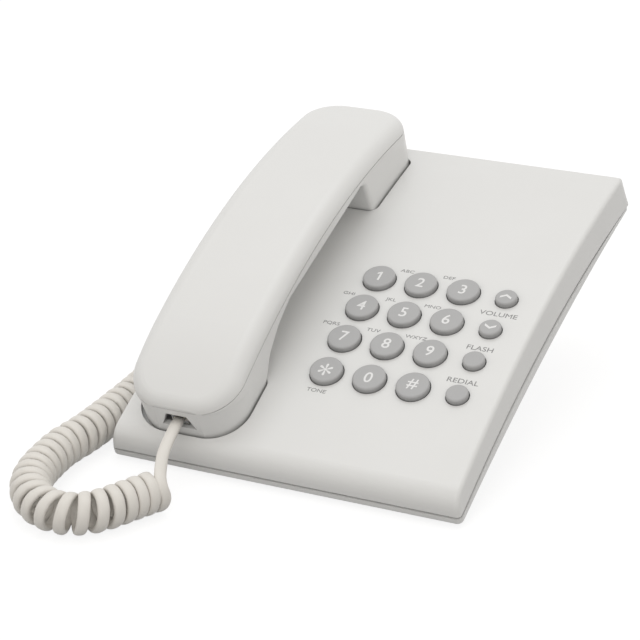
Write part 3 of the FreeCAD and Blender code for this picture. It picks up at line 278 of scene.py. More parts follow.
def flat_sides(line, ahead, first_curl, last_curl):
    """Which way the cord's flat side faces at each point: outward in the curl. In each plain end it
    turns evenly from there to flat in the plug."""
    faces = [None] * len(line)
    for index in range(first_curl, last_curl + 1):
        place = line[index]
        best = min(range(0, len(middle), 4), key=lambda number: (middle[number] - place).length)
        faces[index] = carried(place - middle[best], ahead[index])
    for start, stop, step, goal in ((first_curl, 0, -1, up), (last_curl, len(line) - 1, 1, up)):
        face = faces[start]
        run = [start]
        for index in range(start + step, stop + step, step):
            face = carried(face, ahead[index])
            faces[index] = face
            run.append(index)
        wanted = carried(goal, ahead[stop])
        if wanted.dot(face) < 0.0:
            wanted = -wanted
        twist = math.atan2(ahead[stop].dot(face.cross(wanted)), face.dot(wanted))
        for number, index in enumerate(run):
            share = number / (len(run) - 1)
            angle = twist * share * share * (3.0 - 2.0 * share)
            faces[index] = Matrix.Rotation(angle, 3, ahead[index]) @ faces[index]
    return faces


def flat_cord(name, line, faces, ahead, wide, thick, around=20, squareness=2.3):
    """Closed tube with a flat oval section along a line, with its length and girth as its UV map."""
    oval = []
    for number in range(around):
        angle = 2.0 * math.pi * number / around
        across = math.copysign(abs(math.cos(angle)) ** (2.0 / squareness), math.cos(angle))
        outward = math.copysign(abs(math.sin(angle)) ** (2.0 / squareness), math.sin(angle))
        oval.append((across * wide / 2.0, outward * thick / 2.0))
    corners = []
    for place, face, heading in zip(line, faces, ahead):
        sideways = heading.cross(face)
        corners += [place + sideways * across + face * outward for across, outward in oval]
    rings = len(line)
    quads = []
    for ring in range(rings - 1):
        for number in range(around):
            following = (number + 1) % around
            quads.append((ring * around + number, ring * around + following,
                          (ring + 1) * around + following, (ring + 1) * around + number))
    ends = [tuple(reversed(range(around))), tuple(range((rings - 1) * around, rings * around))]
    mesh = bpy.data.meshes.new(name)
    mesh.from_pydata(corners, [], quads + ends)
    along = distances(line)
    layer = mesh.uv_layers.new(name="along_cord")
    for polygon in mesh.polygons:
        for corner in polygon.loop_indices:
            vertex = mesh.loops[corner].vertex_index
            ring, number = divmod(vertex, around)
            girth = number / around
            if len(polygon.vertices) == 4 and number == 0 and polygon.index % around == around - 1:
                girth = 1.0
            layer.data[corner].uv = (girth, along[ring])
        polygon.use_smooth = len(polygon.vertices) == 4
    piece = bpy.data.objects.new(name, mesh)
    scene.collection.objects.link(piece)
    return piece


first_curl = 2 * len(handset_end)
last_curl = len(cord_line) - 1 - 2 * (len(base_end) + 2)
cord_ahead = headings(cord_line)
cord_faces = flat_sides(cord_line, cord_ahead, first_curl, last_curl)
cord = flat_cord("handset_cord", cord_line, cord_faces, cord_ahead, cord_wide, cord_thick)


def new_finish(name, colour, roughness):
    """A material with a Principled BSDF, returned with its node tree and that shader."""
    material = bpy.data.materials.new(name)
    material.use_nodes = True
    tree = material.node_tree
    shader = tree.nodes["Principled BSDF"]
    shader.inputs["Base Color"].default_value = (*colour, 1.0)
    shader.inputs["Roughness"].default_value = roughness
    return material, tree, shader


def node(tree, kind, **settings):
    made = tree.nodes.new(kind)
    for name, value in settings.items():
        setattr(made, name, value)
    return made


def group_socket(group, name, direction, kind="NodeSocketFloat", value=None):
    socket = group.interface.new_socket(name=name, in_out=direction, socket_type=kind)
    if value is not None:
        socket.default_value = value


def mixed(tree, factor, first, second):
    """Colour between two colours. Each of the three may be a socket or a plain value."""
    blend = node(tree, "ShaderNodeMix", data_type="RGBA")
    for socket, value in ((blend.inputs[0], factor), (blend.inputs[6], first), (blend.inputs[7], second)):
        if isinstance(value, bpy.types.NodeSocket):
            link(tree, value, socket)
        else:
            socket.default_value = value
    return blend.outputs[2]


def ranged(tree, value, low, high):
    """A value from 0 to 1 spread between two numbers."""
    spread = node(tree, "ShaderNodeMapRange")
    spread.inputs["To Min"].default_value = low
    spread.inputs["To Max"].default_value = high
    link(tree, value, spread.inputs["Value"])
    return spread.outputs[0]


def make_cloudiness():
    """Slow changes of tone and gloss over a moulded surface, as masks from 0 to 1."""
    group = bpy.data.node_groups.new("cloudiness", "ShaderNodeTree")
    group_socket(group, "Size", "INPUT", value=0.02)
    group_socket(group, "Tone", "OUTPUT")
    group_socket(group, "Gloss", "OUTPUT")
    start = node(group, "NodeGroupInput")
    stop = node(group, "NodeGroupOutput")
    where = node(group, "ShaderNodeTexCoord")
    scale = node(group, "ShaderNodeMath", operation="DIVIDE")
    scale.inputs[0].default_value = 1.0
    link(group, start.outputs["Size"], scale.inputs[1])
    for output, detail, times in (("Tone", 3.0, 1.0), ("Gloss", 5.0, 2.3)):
        sized = node(group, "ShaderNodeMath", operation="MULTIPLY")
        sized.inputs[1].default_value = times
        clouds = node(group, "ShaderNodeTexNoise")
        clouds.inputs["Detail"].default_value = detail
        link(group, scale.outputs[0], sized.inputs[0])
        link(group, sized.outputs[0], clouds.inputs["Scale"])
        link(group, where.outputs["Object"], clouds.inputs["Vector"])
        link(group, clouds.outputs["Fac"], stop.inputs[output])
    return group


def make_recess():
    """Ambient-occlusion mask that is 1 deep in seams and corners and 0 in the open. Colour mixed in by it is
    painted shade, and in the seams also dust.
    """
    group = bpy.data.node_groups.new("recess", "ShaderNodeTree")
    group_socket(group, "Reach", "INPUT", value=0.002)
    group_socket(group, "Mask", "OUTPUT")
    start = node(group, "NodeGroupInput")
    stop = node(group, "NodeGroupOutput")
    shade = node(group, "ShaderNodeAmbientOcclusion", samples=6)
    turned = node(group, "ShaderNodeMapRange")
    turned.inputs["From Min"].default_value = 0.75
    turned.inputs["From Max"].default_value = 0.15
    link(group, start.outputs["Reach"], shade.inputs["Distance"])
    link(group, shade.outputs["AO"], turned.inputs["Value"])
    link(group, turned.outputs[0], stop.inputs["Mask"])
    return group


cloudiness = make_cloudiness()
recess = make_recess()


def use_group(tree, group, **values):
    placed = node(tree, "ShaderNodeGroup", node_tree=group)
    for name, value in values.items():
        placed.inputs[name].default_value = value
    return placed


def bump(tree, shader, height, distance):
    """Turn a height mask into the shader's surface relief, up to a distance in metres."""
    relief = node(tree, "ShaderNodeBump")
    relief.inputs["Distance"].default_value = distance
    link(tree, height, relief.inputs["Height"])
    link(tree, relief.outputs["Normal"], shader.inputs["Normal"])


cord_white = (0.735, 0.712, 0.672)
cord_shade = (0.640, 0.610, 0.560)
cord_jacket, tree, shader = new_finish("cord_jacket", cord_white, 0.42)
shader.inputs["Specular IOR Level"].default_value = 0.45
along_cord = node(tree, "ShaderNodeUVMap", uv_map="along_cord")
stretched = node(tree, "ShaderNodeMapping")
stretched.inputs["Scale"].default_value = (46.0, 30.0, 1.0)
die_lines = node(tree, "ShaderNodeTexNoise")
die_lines.inputs["Scale"].default_value = 1.0
die_lines.inputs["Detail"].default_value = 4.0
clouds = use_group(tree, cloudiness, Size=0.012)
grime_and_shade = use_group(tree, recess, Reach=0.0016)
link(tree, along_cord.outputs[0], stretched.inputs["Vector"])
link(tree, stretched.outputs[0], die_lines.inputs["Vector"])
toned = mixed(tree, ranged(tree, clouds.outputs["Tone"], 0.0, 0.35), (*cord_white, 1.0), (*cord_shade, 1.0))
# Darker where the occlusion mask finds the gaps between turns: painted shade, with some dust.
dusty_and_shaded = mixed(tree, ranged(tree, grime_and_shade.outputs["Mask"], 0.0, 0.45), toned, (0.47, 0.43, 0.38, 1.0))
link(tree, dusty_and_shaded, shader.inputs["Base Color"])
link(tree, ranged(tree, clouds.outputs["Gloss"], 0.34, 0.50), shader.inputs["Roughness"])
bump(tree, shader, die_lines.outputs["Fac"], 0.00005)
cord.data.materials.append(cord_jacket)
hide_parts("handset_coil", "handset_lead", "base_lead")
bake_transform(cord)


# Cord plugs. Two small clear polycarbonate plugs, crimped on the cord's ends, each with a sprung
# latch and four gilt contacts. One sits in the handset's nose, the other in the base's left wall.

lean = math.radians(19.5)
slab_up = Vector((0.0, -math.sin(lean), math.cos(lean)))
slab_back = Vector((0.0, math.cos(lean), math.sin(lean)))
rightward = Vector((1.0, 0.0, 0.0))
plug_half = 0.0038
plug_long = 0.0117
latch_half = 0.0016
latch_rise = 0.0012
contact_pitch = 0.00102
contact_half = 0.00015


def set_of_axes(place, across, ahead, upward):
    """Matrix that puts a piece made about the origin in its place, along three directions."""
    return Matrix.Translation(place) @ Matrix((across, ahead, upward)).transposed().to_4x4()


edgewise = Matrix(((0.0, 0.0, 1.0, 0.0), (1.0, 0.0, 0.0, 0.0), (0.0, 1.0, 0.0, 0.0), (0.0, 0.0, 0.0, 1.0)))


def prism(shape, corners, low, high, soft, turn=Matrix()):
    """Add a solid with a flat outline, from one height to another, with its edges softened."""
    solid = bmesh.new()
    lid = solid.faces.new([solid.verts.new((x, y, low)) for x, y in corners])
    for grown in bmesh.ops.extrude_face_region(solid, geom=[lid])["geom"]:
        if isinstance(grown, bmesh.types.BMVert):
            grown.co.z = high
    bmesh.ops.recalc_face_normals(solid, faces=solid.faces)
    bmesh.ops.bevel(solid, geom=solid.edges[:], offset=soft, segments=2, profile=0.5, affect="EDGES")
    solid.transform(turn)
    copy = bpy.data.meshes.new("solid")
    solid.to_mesh(copy)
    solid.free()
    shape.from_mesh(copy)
    bpy.data.meshes.remove(copy)


def oblong(half_wide, half_long, middle=0.0):
    """Corners of a rectangle, for a prism."""
    return [(middle - half_wide, -half_long), (middle + half_wide, -half_long),
            (middle + half_wide, half_long), (middle - half_wide, half_long)]


def made_piece(name, shape, place, material, body):
    """Turn a built shape into a piece that rides on a body."""
    mesh = bpy.data.meshes.new(name)
    shape.transform(place)
    shape.to_mesh(mesh)
    shape.free()
    mesh.materials.append(material)
    piece = bpy.data.objects.new(name, mesh)
    scene.collection.objects.link(piece)
    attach(piece, body)
    return piece


clear_plastic, tree, shader = new_finish("clear_plastic", (0.93, 0.94, 0.93), 0.10)
shader.inputs["Transmission Weight"].default_value = 0.85
shader.inputs["IOR"].default_value = 1.58
clouds = use_group(tree, cloudiness, Size=0.003)
link(tree, ranged(tree, clouds.outputs["Gloss"], 0.05, 0.22), shader.inputs["Roughness"])
bump(tree, shader, clouds.outputs["Tone"], 0.00003)
gilt, tree, shader = new_finish("gilt_contact", (0.86, 0.62, 0.28), 0.24)
shader.inputs["Metallic"].default_value = 1.0
clouds = use_group(tree, cloudiness, Size=0.0015)
link(tree, mixed(tree, clouds.outputs["Tone"], (0.88, 0.65, 0.31, 1.0), (0.72, 0.49, 0.20, 1.0)),
     shader.inputs["Base Color"])
link(tree, ranged(tree, clouds.outputs["Gloss"], 0.16, 0.34), shader.inputs["Roughness"])


def cord_plug(name, body, place, under, over):
    """A plug whose cord end is at its own origin, between two heights, with its latch on top."""
    shape = bmesh.new()
    top = over - latch_rise
    prism(shape, [(0.0, under), (plug_long - 0.0009, under), (plug_long, under + 0.0009),
                  (plug_long, top - 0.0004), (plug_long - 0.0006, top), (0.0, top)],
          -plug_half, plug_half, 0.0002, edgewise)
    prism(shape, [(0.0107, top - 0.0002), (0.0109, top + 0.0004), (0.0052, top + 0.0010), (0.0014, over),
                  (0.0013, top + 0.0006), (0.0048, top + 0.0004)], -latch_half, latch_half, 0.00012, edgewise)
    made = made_piece(name + "_clear", shape, place, clear_plastic, body)
    blades = bmesh.new()
    for number in range(4):
        middle_of_blade = (number - 1.5) * contact_pitch
        prism(blades, [(0.0088, under + 0.0002), (0.0113, under + 0.0002), (0.0113, under + 0.0022),
                       (0.0096, under + 0.0030), (0.0088, under + 0.0022)],
              middle_of_blade - contact_half, middle_of_blade + contact_half, 0.00004, edgewise)
    contacts = made_piece(name + "_contacts", blades, place, gilt, body)
    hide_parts(name)
    return [made, contacts]


plug_pieces = cord_plug("handset_plug", "handset", set_of_axes(
    Vector(handset_end[0]), rightward, slab_back, slab_up), -0.0029, 0.0029)
plug_pieces += cord_plug("base_plug", "base", set_of_axes(
    Vector(base_end[-1]), -slab_back, rightward, slab_up), -0.0032, 0.0032)


# Housings. Base and handset are moulded in one off-white ABS with a satin, very fine grain. The
# base's two halves meet in a groove all round, and the handset's along a hairline in its sides.

shell_white = (0.724, 0.727, 0.720)
shell_tint = (0.698, 0.698, 0.689)


def make_fine_grain():
    """Relief of a spark-eroded mould: tiny rounded pits."""
    group = bpy.data.node_groups.new("fine_grain", "ShaderNodeTree")
    group_socket(group, "Grain", "INPUT", value=0.0003)
    group_socket(group, "Height", "OUTPUT")
    start = node(group, "NodeGroupInput")
    stop = node(group, "NodeGroupOutput")
    where = node(group, "ShaderNodeTexCoord")
    scale = node(group, "ShaderNodeMath", operation="DIVIDE")
    scale.inputs[0].default_value = 1.0
    pits = node(group, "ShaderNodeTexNoise")
    pits.inputs["Detail"].default_value = 2.0
    pits.inputs["Roughness"].default_value = 0.6
    link(group, start.outputs["Grain"], scale.inputs[1])
    link(group, scale.outputs[0], pits.inputs["Scale"])
    link(group, where.outputs["Object"], pits.inputs["Vector"])
    link(group, pits.outputs["Fac"], stop.inputs["Height"])
    return group


fine_grain = make_fine_grain()


def moulded(name, colour, tint, gloss, grain, depth, dust_and_shade, cloud=0.03, reach=0.0025):
    """Moulded plastic: slightly cloudy colour, uneven gloss, fine grain, and dust with painted shade
    darkening the seams and corners.
    """
    material, tree, shader = new_finish(name, colour, gloss)
    clouds = use_group(tree, cloudiness, Size=cloud)
    grime_and_shade = use_group(tree, recess, Reach=reach)
    pits = use_group(tree, fine_grain, Grain=grain)
    toned = mixed(tree, ranged(tree, clouds.outputs["Tone"], 0.0, 0.8), (*colour, 1.0), (*tint, 1.0))
    # Darker towards a dim tint where the occlusion mask finds seams and corners: painted shade, with dust in
    # the seams.
    dusty_and_shaded = mixed(tree, ranged(tree, grime_and_shade.outputs["Mask"], 0.0, dust_and_shade), toned,
                  tuple(part * 0.45 for part in tint) + (1.0,))
    link(tree, dusty_and_shaded, shader.inputs["Base Color"])
    link(tree, ranged(tree, clouds.outputs["Gloss"], gloss - 0.06, gloss + 0.06), shader.inputs["Roughness"])
    bump(tree, shader, pits.outputs["Height"], depth)
    return material


def finish_nodes(material, *names):
    """Give CAD pieces a material, on every slot of their meshes."""
    for name in names:
        mesh = nodes[name].data
        if not mesh.materials:
            mesh.materials.append(material)
        for index in range(len(mesh.materials)):
            mesh.materials[index] = material


# The housings' seams and corners are darkened at 0.55 strength by painted shade, with some dust.
shell_plastic = moulded("shell_plastic", shell_white, shell_tint, 0.36, 0.00022, 0.000012, 0.55)
finish_nodes(shell_plastic, "base_upper_housing", "base_lower_housing", "handset_outer_shell",
             "handset_inner_shell", "desk_stand", "hook_plunger")


# Keys. Sixteen round caps in a mid grey ABS, twelve large ones and four small ones. Their tops
# follow the curved face and stand a little proud of it, each in its own close hole.

key_grey = (0.405, 0.405, 0.405)
key_tint = (0.375, 0.375, 0.378)
digit_keys = ["key_" + label for label in "1 2 3 4 5 6 7 8 9 star 0 hash".split()]
function_keys = ["volume_up_key", "volume_down_key", "flash_key", "redial_key"]
# Full strength and a long occlusion reach paint shade on the caps' sides, a dark rim low on each key.
key_plastic = moulded("key_plastic", key_grey, key_tint, 0.38, 0.00018, 0.00001, 1.0, cloud=0.01,
                      reach=0.007)
finish_nodes(key_plastic, *digit_keys, *function_keys)


# Key figures. Plain rounded figures, pad printed in pale grey on the caps, with a star, a hash and
# two arrow heads. Each is a thin skin of ink that follows the cap under it.

def on_slab(across, along, height):
    """Place in the room of a point given in the leaning base's own axes, all in metres."""
    front = Vector((0.0, -0.0931, 0.0012))
    return front + Vector((across, 0.0, 0.0)) + slab_back * (along + 0.1) + slab_up * height


def surface_of(*names):
    """Search tree over the faces of CAD pieces."""
    corners = []
    faces = []
    for name in names:
        mesh = nodes[name].data
        first = len(corners)
        corners += [vertex.co.copy() for vertex in mesh.vertices]
        faces += [tuple(first + vertex for vertex in polygon.vertices) for polygon in mesh.polygons]
    return BVHTree.FromPolygons(corners, faces)


ink_thick = 0.00003
size_per_cap_height = 1.43


def lettering(text, cap_height, bold=0.0, stretch=1.0):
    """Flat mesh of a word in plain letters, centred, with a thin edge. Stretched, it is wider."""
    curve = bpy.data.curves.new("words", "FONT")
    curve.body = text
    curve.align_x = "CENTER"
    curve.align_y = "CENTER"
    curve.size = cap_height * size_per_cap_height
    curve.offset = bold
    curve.extrude = ink_thick
    curve.resolution_u = 4
    carrier = bpy.data.objects.new("words", curve)
    mesh = bpy.data.meshes.new_from_object(carrier)
    bpy.data.objects.remove(carrier)
    spread = [[vertex.co[axis] for vertex in mesh.vertices] for axis in (0, 1)]
    centre = Vector([(min(values) + max(values)) / 2.0 for values in spread] + [0.0])
    mesh.transform(Matrix.Diagonal((stretch, 1.0, 1.0, 1.0)) @ Matrix.Translation(-centre))
    return mesh


def outlined(corners):
    """Flat mesh of a closed outline, with a thin edge."""
    count = len(corners)
    mesh = bpy.data.meshes.new("outline")
    rims = [(x, y, level) for level in (-ink_thick, ink_thick) for x, y in corners]
    sides = [(number, (number + 1) % count, count + (number + 1) % count, count + number)
             for number in range(count)]
    mesh.from_pydata(rims, [], [tuple(reversed(range(count))), tuple(range(count, 2 * count))] + sides)
    return mesh


def over_face(across, along):
    """Where a print over the top face starts its way down, for a point of its flat outline."""
    return lambda x, y: on_slab(across + x, along + y, 0.04)


def printed(name, mesh, start_at, toward, carrier, ink, body):
    """Lay a flat mesh on a surface as a skin of ink and let it ride with that piece."""
    for vertex in mesh.vertices:
        place, normal, _, _ = carrier.ray_cast(start_at(vertex.co.x, vertex.co.y), toward)
        vertex.co = place + normal * (0.00002 + vertex.co.z)
    mesh.name = name
    mesh.materials.clear()
    mesh.materials.append(ink)
    piece = bpy.data.objects.new(name, mesh)
    scene.collection.objects.link(piece)
    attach(piece, body)
    return piece


def inked(name, colour):
    """Pad-printing ink: slightly thin in places, a little glossier than the plastic."""
    material, tree, shader = new_finish(name, colour, 0.4)
    specks = node(tree, "ShaderNodeTexNoise")
    specks.inputs["Scale"].default_value = 5200.0
    specks.inputs["Detail"].default_value = 3.0
    where = node(tree, "ShaderNodeTexCoord")
    link(tree, where.outputs["Object"], specks.inputs["Vector"])
    thin = tuple(part * 0.86 for part in colour) + (1.0,)
    link(tree, mixed(tree, specks.outputs["Fac"], (*colour, 1.0), thin), shader.inputs["Base Color"])
    link(tree, ranged(tree, specks.outputs["Fac"], 0.32, 0.5), shader.inputs["Roughness"])
    return material


figure_ink = inked("figure_ink", (0.80, 0.80, 0.80))
key_columns = [0.0009, 0.01942, 0.03794]
small_column = 0.0565
key_rows = [-0.0509, -0.03252, -0.01414, 0.00424]
figures = ["*0#", "789", "456", "123"]
figure_height = 0.0052
figure_bold = 0.00007
star_size = 1.85
lower_figures = 0.0006
figure_one = [(0.00005, -0.0026), (0.0009, -0.0026), (0.0009, 0.0026), (0.0002, 0.0026), (-0.0011, 0.0018),
              (-0.0011, 0.0009), (0.00005, 0.0016)]
for row, marks in zip(key_rows, figures):
    for column, mark in zip(key_columns, marks):
        owner = {"*": "key_star", "#": "key_hash"}.get(mark, "key_" + mark)
        size = figure_height * (star_size if mark == "*" else 1.0)
        flat = outlined(figure_one) if mark == "1" else lettering(mark, size, figure_bold)
        lower = lower_figures if mark in "*0" else 0.0
        printed(owner + "_figure", flat, over_face(column, row - lower), -slab_up, surface_of(owner),
                figure_ink, owner + "_body")

arrow_half = 0.0024
arrow_rise = 0.0013
arrow_stroke = 0.0011
for owner, row, way in (("volume_up_key", key_rows[3], 1.0), ("volume_down_key", key_rows[2], -1.0)):
    chevron = [(-arrow_half, -arrow_rise), (0.0, arrow_rise - arrow_stroke), (arrow_half, -arrow_rise),
               (arrow_half, arrow_stroke - arrow_rise), (0.0, arrow_rise),
               (-arrow_half, arrow_stroke - arrow_rise)]
    if way < 0.0:
        chevron = [(x, -y) for x, y in reversed(chevron)]
    printed(owner + "_arrow", outlined(chevron), over_face(small_column, row), -slab_up, surface_of(owner),
            figure_ink, owner + "_body")


# Words on the base. The letters that belong to the digits, and the plain names of the function
# keys, pad printed in dark grey beside the keys. The place at the top of the face is bare.

word_ink = inked("word_ink", (0.24, 0.24, 0.24))
face = surface_of("base_upper_housing")
letter_offset = (-0.0092, 0.0079)
letter_height = 0.0017
letter_stretch = 1.27
word_stretch = 1.2
letters = {(1, 3): "ABC", (2, 3): "DEF", (0, 2): "GHI", (1, 2): "JKL", (2, 2): "MNO",
           (0, 1): "PQRS", (1, 1): "TUV", (2, 1): "WXYZ"}
for (column, row), words in letters.items():
    printed("letters_" + words, lettering(words, letter_height, stretch=letter_stretch), over_face(
        key_columns[column] + letter_offset[0], key_rows[row] + letter_offset[1]), -slab_up, face,
        word_ink, "base")
for words, across, along, height in (("VOLUME", 0.0562, -0.0044, 0.0024), ("FLASH", 0.0560, -0.0246, 0.0024),
                                     ("REDIAL", 0.0558, -0.0430, 0.0024), ("TONE", 0.0004, -0.0606, 0.0018)):
    printed("word_" + words, lettering(words, height, stretch=word_stretch), over_face(across, along),
            -slab_up, face, word_ink, "base")


# Feet. Black rubber pads, punched from sheet and glued in the stand's four corners and under the
# base's front edge, where they keep the telephone from sliding.

foot_black = (0.035, 0.035, 0.036)


def rubber(name, colour, worn):
    """Dull rubber: a speckled matt surface that greys where it has been handled."""
    material, tree, shader = new_finish(name, colour, 0.75)
    clouds = use_group(tree, cloudiness, Size=0.006)
    grime_and_shade = use_group(tree, recess, Reach=0.0012)
    grain = use_group(tree, fine_grain, Grain=0.0004)
    toned = mixed(tree, ranged(tree, clouds.outputs["Tone"], 0.0, 0.7), (*colour, 1.0), (*worn, 1.0))
    # Mixed toward dark grey where the occlusion mask finds corners: painted shade on the grey silicone sheet,
    # paler dust on black rubber.
    link(tree, mixed(tree, ranged(tree, grime_and_shade.outputs["Mask"], 0.0, 0.5), toned, (0.12, 0.11, 0.10, 1.0)),
         shader.inputs["Base Color"])
    link(tree, ranged(tree, clouds.outputs["Gloss"], 0.62, 0.88), shader.inputs["Roughness"])
    bump(tree, shader, grain.outputs["Height"], 0.00006)
    return material


foot_rubber = rubber("foot_rubber", foot_black, (0.065, 0.063, 0.060))
finish_nodes(foot_rubber, "stand_feet", "front_feet")


# Screws. Zinc-plated pan heads with a cross recess and a self-tapping thread: four close the base
# from below, four hold the board, and two hold the handset's shells together.

head_radius = 0.0026
head_high = 0.0016
head_edge = 0.0007
shank_radius = 0.0013
thread_root = 0.00105
thread_pitch = 0.0011
point_long = 0.0012
cross_half = 0.00042
cross_reach = 0.00165
cross_deep = 0.0009


def turned(profile, around):
    """Mesh of a profile of (radius, height) corners turned about the upright, closed at its ends."""
    corners = []
    faces = []
    for radius, height in profile:
        corners += [(radius * math.cos(2.0 * math.pi * number / around),
                     radius * math.sin(2.0 * math.pi * number / around), height) for number in range(around)]
    for ring in range(len(profile) - 1):
        for number in range(around):
            following = (number + 1) % around
            faces.append((ring * around + number, ring * around + following,
                          (ring + 1) * around + following, (ring + 1) * around + number))
    last = (len(profile) - 1) * around
    faces += [tuple(reversed(range(around))), tuple(range(last, last + around))]
    mesh = bpy.data.meshes.new("turned")
    mesh.from_pydata(corners, [], faces)
    return mesh


def carved(mesh, tool):
    """The first mesh with the second cut out of it."""
    body = bpy.data.objects.new("blank", mesh)
    cutter = bpy.data.objects.new("cutter", tool)
    scene.collection.objects.link(body)
    scene.collection.objects.link(cutter)
    cut = body.modifiers.new("cut", "BOOLEAN")
    cut.object = cutter
    cut.operation = "DIFFERENCE"
    cut.solver = "EXACT"
    done = bpy.data.meshes.new_from_object(body.evaluated_get(bpy.context.evaluated_depsgraph_get()))
    bpy.data.objects.remove(body)
    bpy.data.objects.remove(cutter)
    return done


def cross_head():
    """Domed screw head with its underside at the origin, and a cross sunk in its top."""
    dome = [(0.0022, 0.0), (head_radius, 0.0001), (head_radius, head_edge)]
    for step in range(1, 6):
        angle = math.pi / 2.0 * step / 6.0
        dome.append((head_radius * math.cos(angle), head_edge + (head_high - head_edge) * math.sin(angle)))
    dome.append((0.0003, head_high))
    cross = bmesh.new()
    for wide, long in ((cross_half, cross_reach), (cross_reach, cross_half)):
        prism(cross, oblong(wide, long), head_high - cross_deep, head_high * 1.4, 0.00005)
    tool = bpy.data.meshes.new("cross")
    cross.to_mesh(tool)
    cross.free()
    return carved(turned(dome, 40), tool)


def threaded_shank(length):
    """Shank below the origin, with a thread of steady pitch and a short point."""
    profile = [(0.0002, -length), (thread_root, -length + point_long)]
    height = -length + point_long
    while height < -thread_pitch * 1.5:
        profile += [(shank_radius, height + thread_pitch * 0.5), (thread_root, height + thread_pitch)]
        height += thread_pitch
    profile.append((thread_root, 0.0))
    return turned(profile, 20)


def separate_solids(name):
    """Corner points of each separate solid in a CAD piece."""
    shape = bmesh.new()
    shape.from_mesh(nodes[name].data)
    bmesh.ops.remove_doubles(shape, verts=shape.verts, dist=0.000001)
    shape.verts.ensure_lookup_table()
    seen = [False] * len(shape.verts)
    groups = []
    for start in range(len(seen)):
        if seen[start]:
            continue
        seen[start] = True
        waiting = [shape.verts[start]]
        group = []
        while waiting:
            vertex = waiting.pop()
            group.append(vertex.co.copy())
            for edge in vertex.link_edges:
                other = edge.other_vert(vertex)
                if not seen[other.index]:
                    seen[other.index] = True
                    waiting.append(other)
        groups.append(group)
    shape.free()
    return groups


def screw_set(name, body, outward):
    """Detailed screws in the places of a CAD set, whose heads all face outward."""
    ahead = outward.cross(rightward).normalized()
    across = ahead.cross(outward)
    head = cross_head()
    shape = bmesh.new()
    for number, group in enumerate(separate_solids(name)):
        spread = [[point.dot(axis) for point in group] for axis in (across, ahead, outward)]
        top = max(spread[2])
        length = top - min(spread[2]) - head_high
        place = across * ((min(spread[0]) + max(spread[0])) / 2.0) + ahead * (
            (min(spread[1]) + max(spread[1])) / 2.0) + outward * (top - head_high)
        turn = set_of_axes(place, across, ahead, outward) @ Matrix.Rotation(0.7 * number + 0.3, 4, "Z")
        for mesh in (head.copy(), threaded_shank(length)):
            mesh.transform(turn)
            shape.from_mesh(mesh)
            bpy.data.meshes.remove(mesh)
    made = made_piece(name + "_driven", shape, Matrix(), zinc_plate, body)
    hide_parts(name)


def plated(name, colour, tint, rough):
    """Bright plated metal: faint clouds in its tone and gloss, and painted shade darkening its corners."""
    material, tree, shader = new_finish(name, colour, rough)
    shader.inputs["Metallic"].default_value = 1.0
    clouds = use_group(tree, cloudiness, Size=0.003)
    grime_and_shade = use_group(tree, recess, Reach=0.001)
    toned = mixed(tree, clouds.outputs["Tone"], (*colour, 1.0), (*tint, 1.0))
    # Painted shade: the colour darkens where the occlusion mask finds corners.
    link(tree, mixed(tree, grime_and_shade.outputs["Mask"], toned, tuple(part * 0.4 for part in tint) + (1.0,)),
         shader.inputs["Base Color"])
    link(tree, ranged(tree, clouds.outputs["Gloss"], rough - 0.08, rough + 0.12), shader.inputs["Roughness"])
    grain = use_group(tree, fine_grain, Grain=0.00015)
    bump(tree, shader, grain.outputs["Height"], 0.000006)
    return material


zinc_plate = plated("zinc_plate", (0.66, 0.67, 0.68), (0.56, 0.56, 0.55), 0.30)
screw_set("base_screws", "base", -slab_up)
screw_set("handset_screws", "handset", -slab_up)
# The board leans as the curved face does at the keypad's middle, board_forward in front of the
# crown. To either side of the crown the face drops by crown_drop over crown_reach.
crown_drop = 0.0074
crown_reach = 0.1
board_forward = 0.0233
pad_lean = lean + math.atan(2.0 * crown_drop * board_forward / crown_reach ** 2)
screw_set("board_screws", "base", Vector((0.0, -math.sin(pad_lean), math.cos(pad_lean))))


# Jacks. Black moulded jack blocks behind the walls: one for the handset cord in the left wall, one in
# the handset's nose, and one for the line at the rear, whose four gilt spring wires show in its mouth.

jack_black = moulded("jack_black", (0.028, 0.028, 0.030), (0.040, 0.040, 0.041), 0.42, 0.0003, 0.00002, 0.3,
                     cloud=0.006)
finish_nodes(jack_black, "handset_jack_base", "handset_socket", "line_jack")
line_mouth = on_slab(0.040, 0.0961, 0.0056)
spring_pitch = 0.00127
spring_half = 0.0002
springs = bmesh.new()
for number in range(4):
    across = (number - 1.5) * spring_pitch
    prism(springs, [(0.0120, -0.0032), (0.0026, -0.0032), (0.0022, -0.0029), (0.0025, -0.0026),
                    (0.0095, 0.0006), (0.0097, 0.0003), (0.0033, -0.00275), (0.0120, -0.0028)],
          across - spring_half, across + spring_half, 0.00005, edgewise)
made_piece("line_jack_springs", springs, set_of_axes(line_mouth, -rightward, -slab_back, slab_up), gilt,
           "base")


# Wall switches. Two ribbed slide knobs in slots in the rear wall, moulded in black: the bell's
# loudness on the left and the dialling mode beside it, with their plain names in small print.

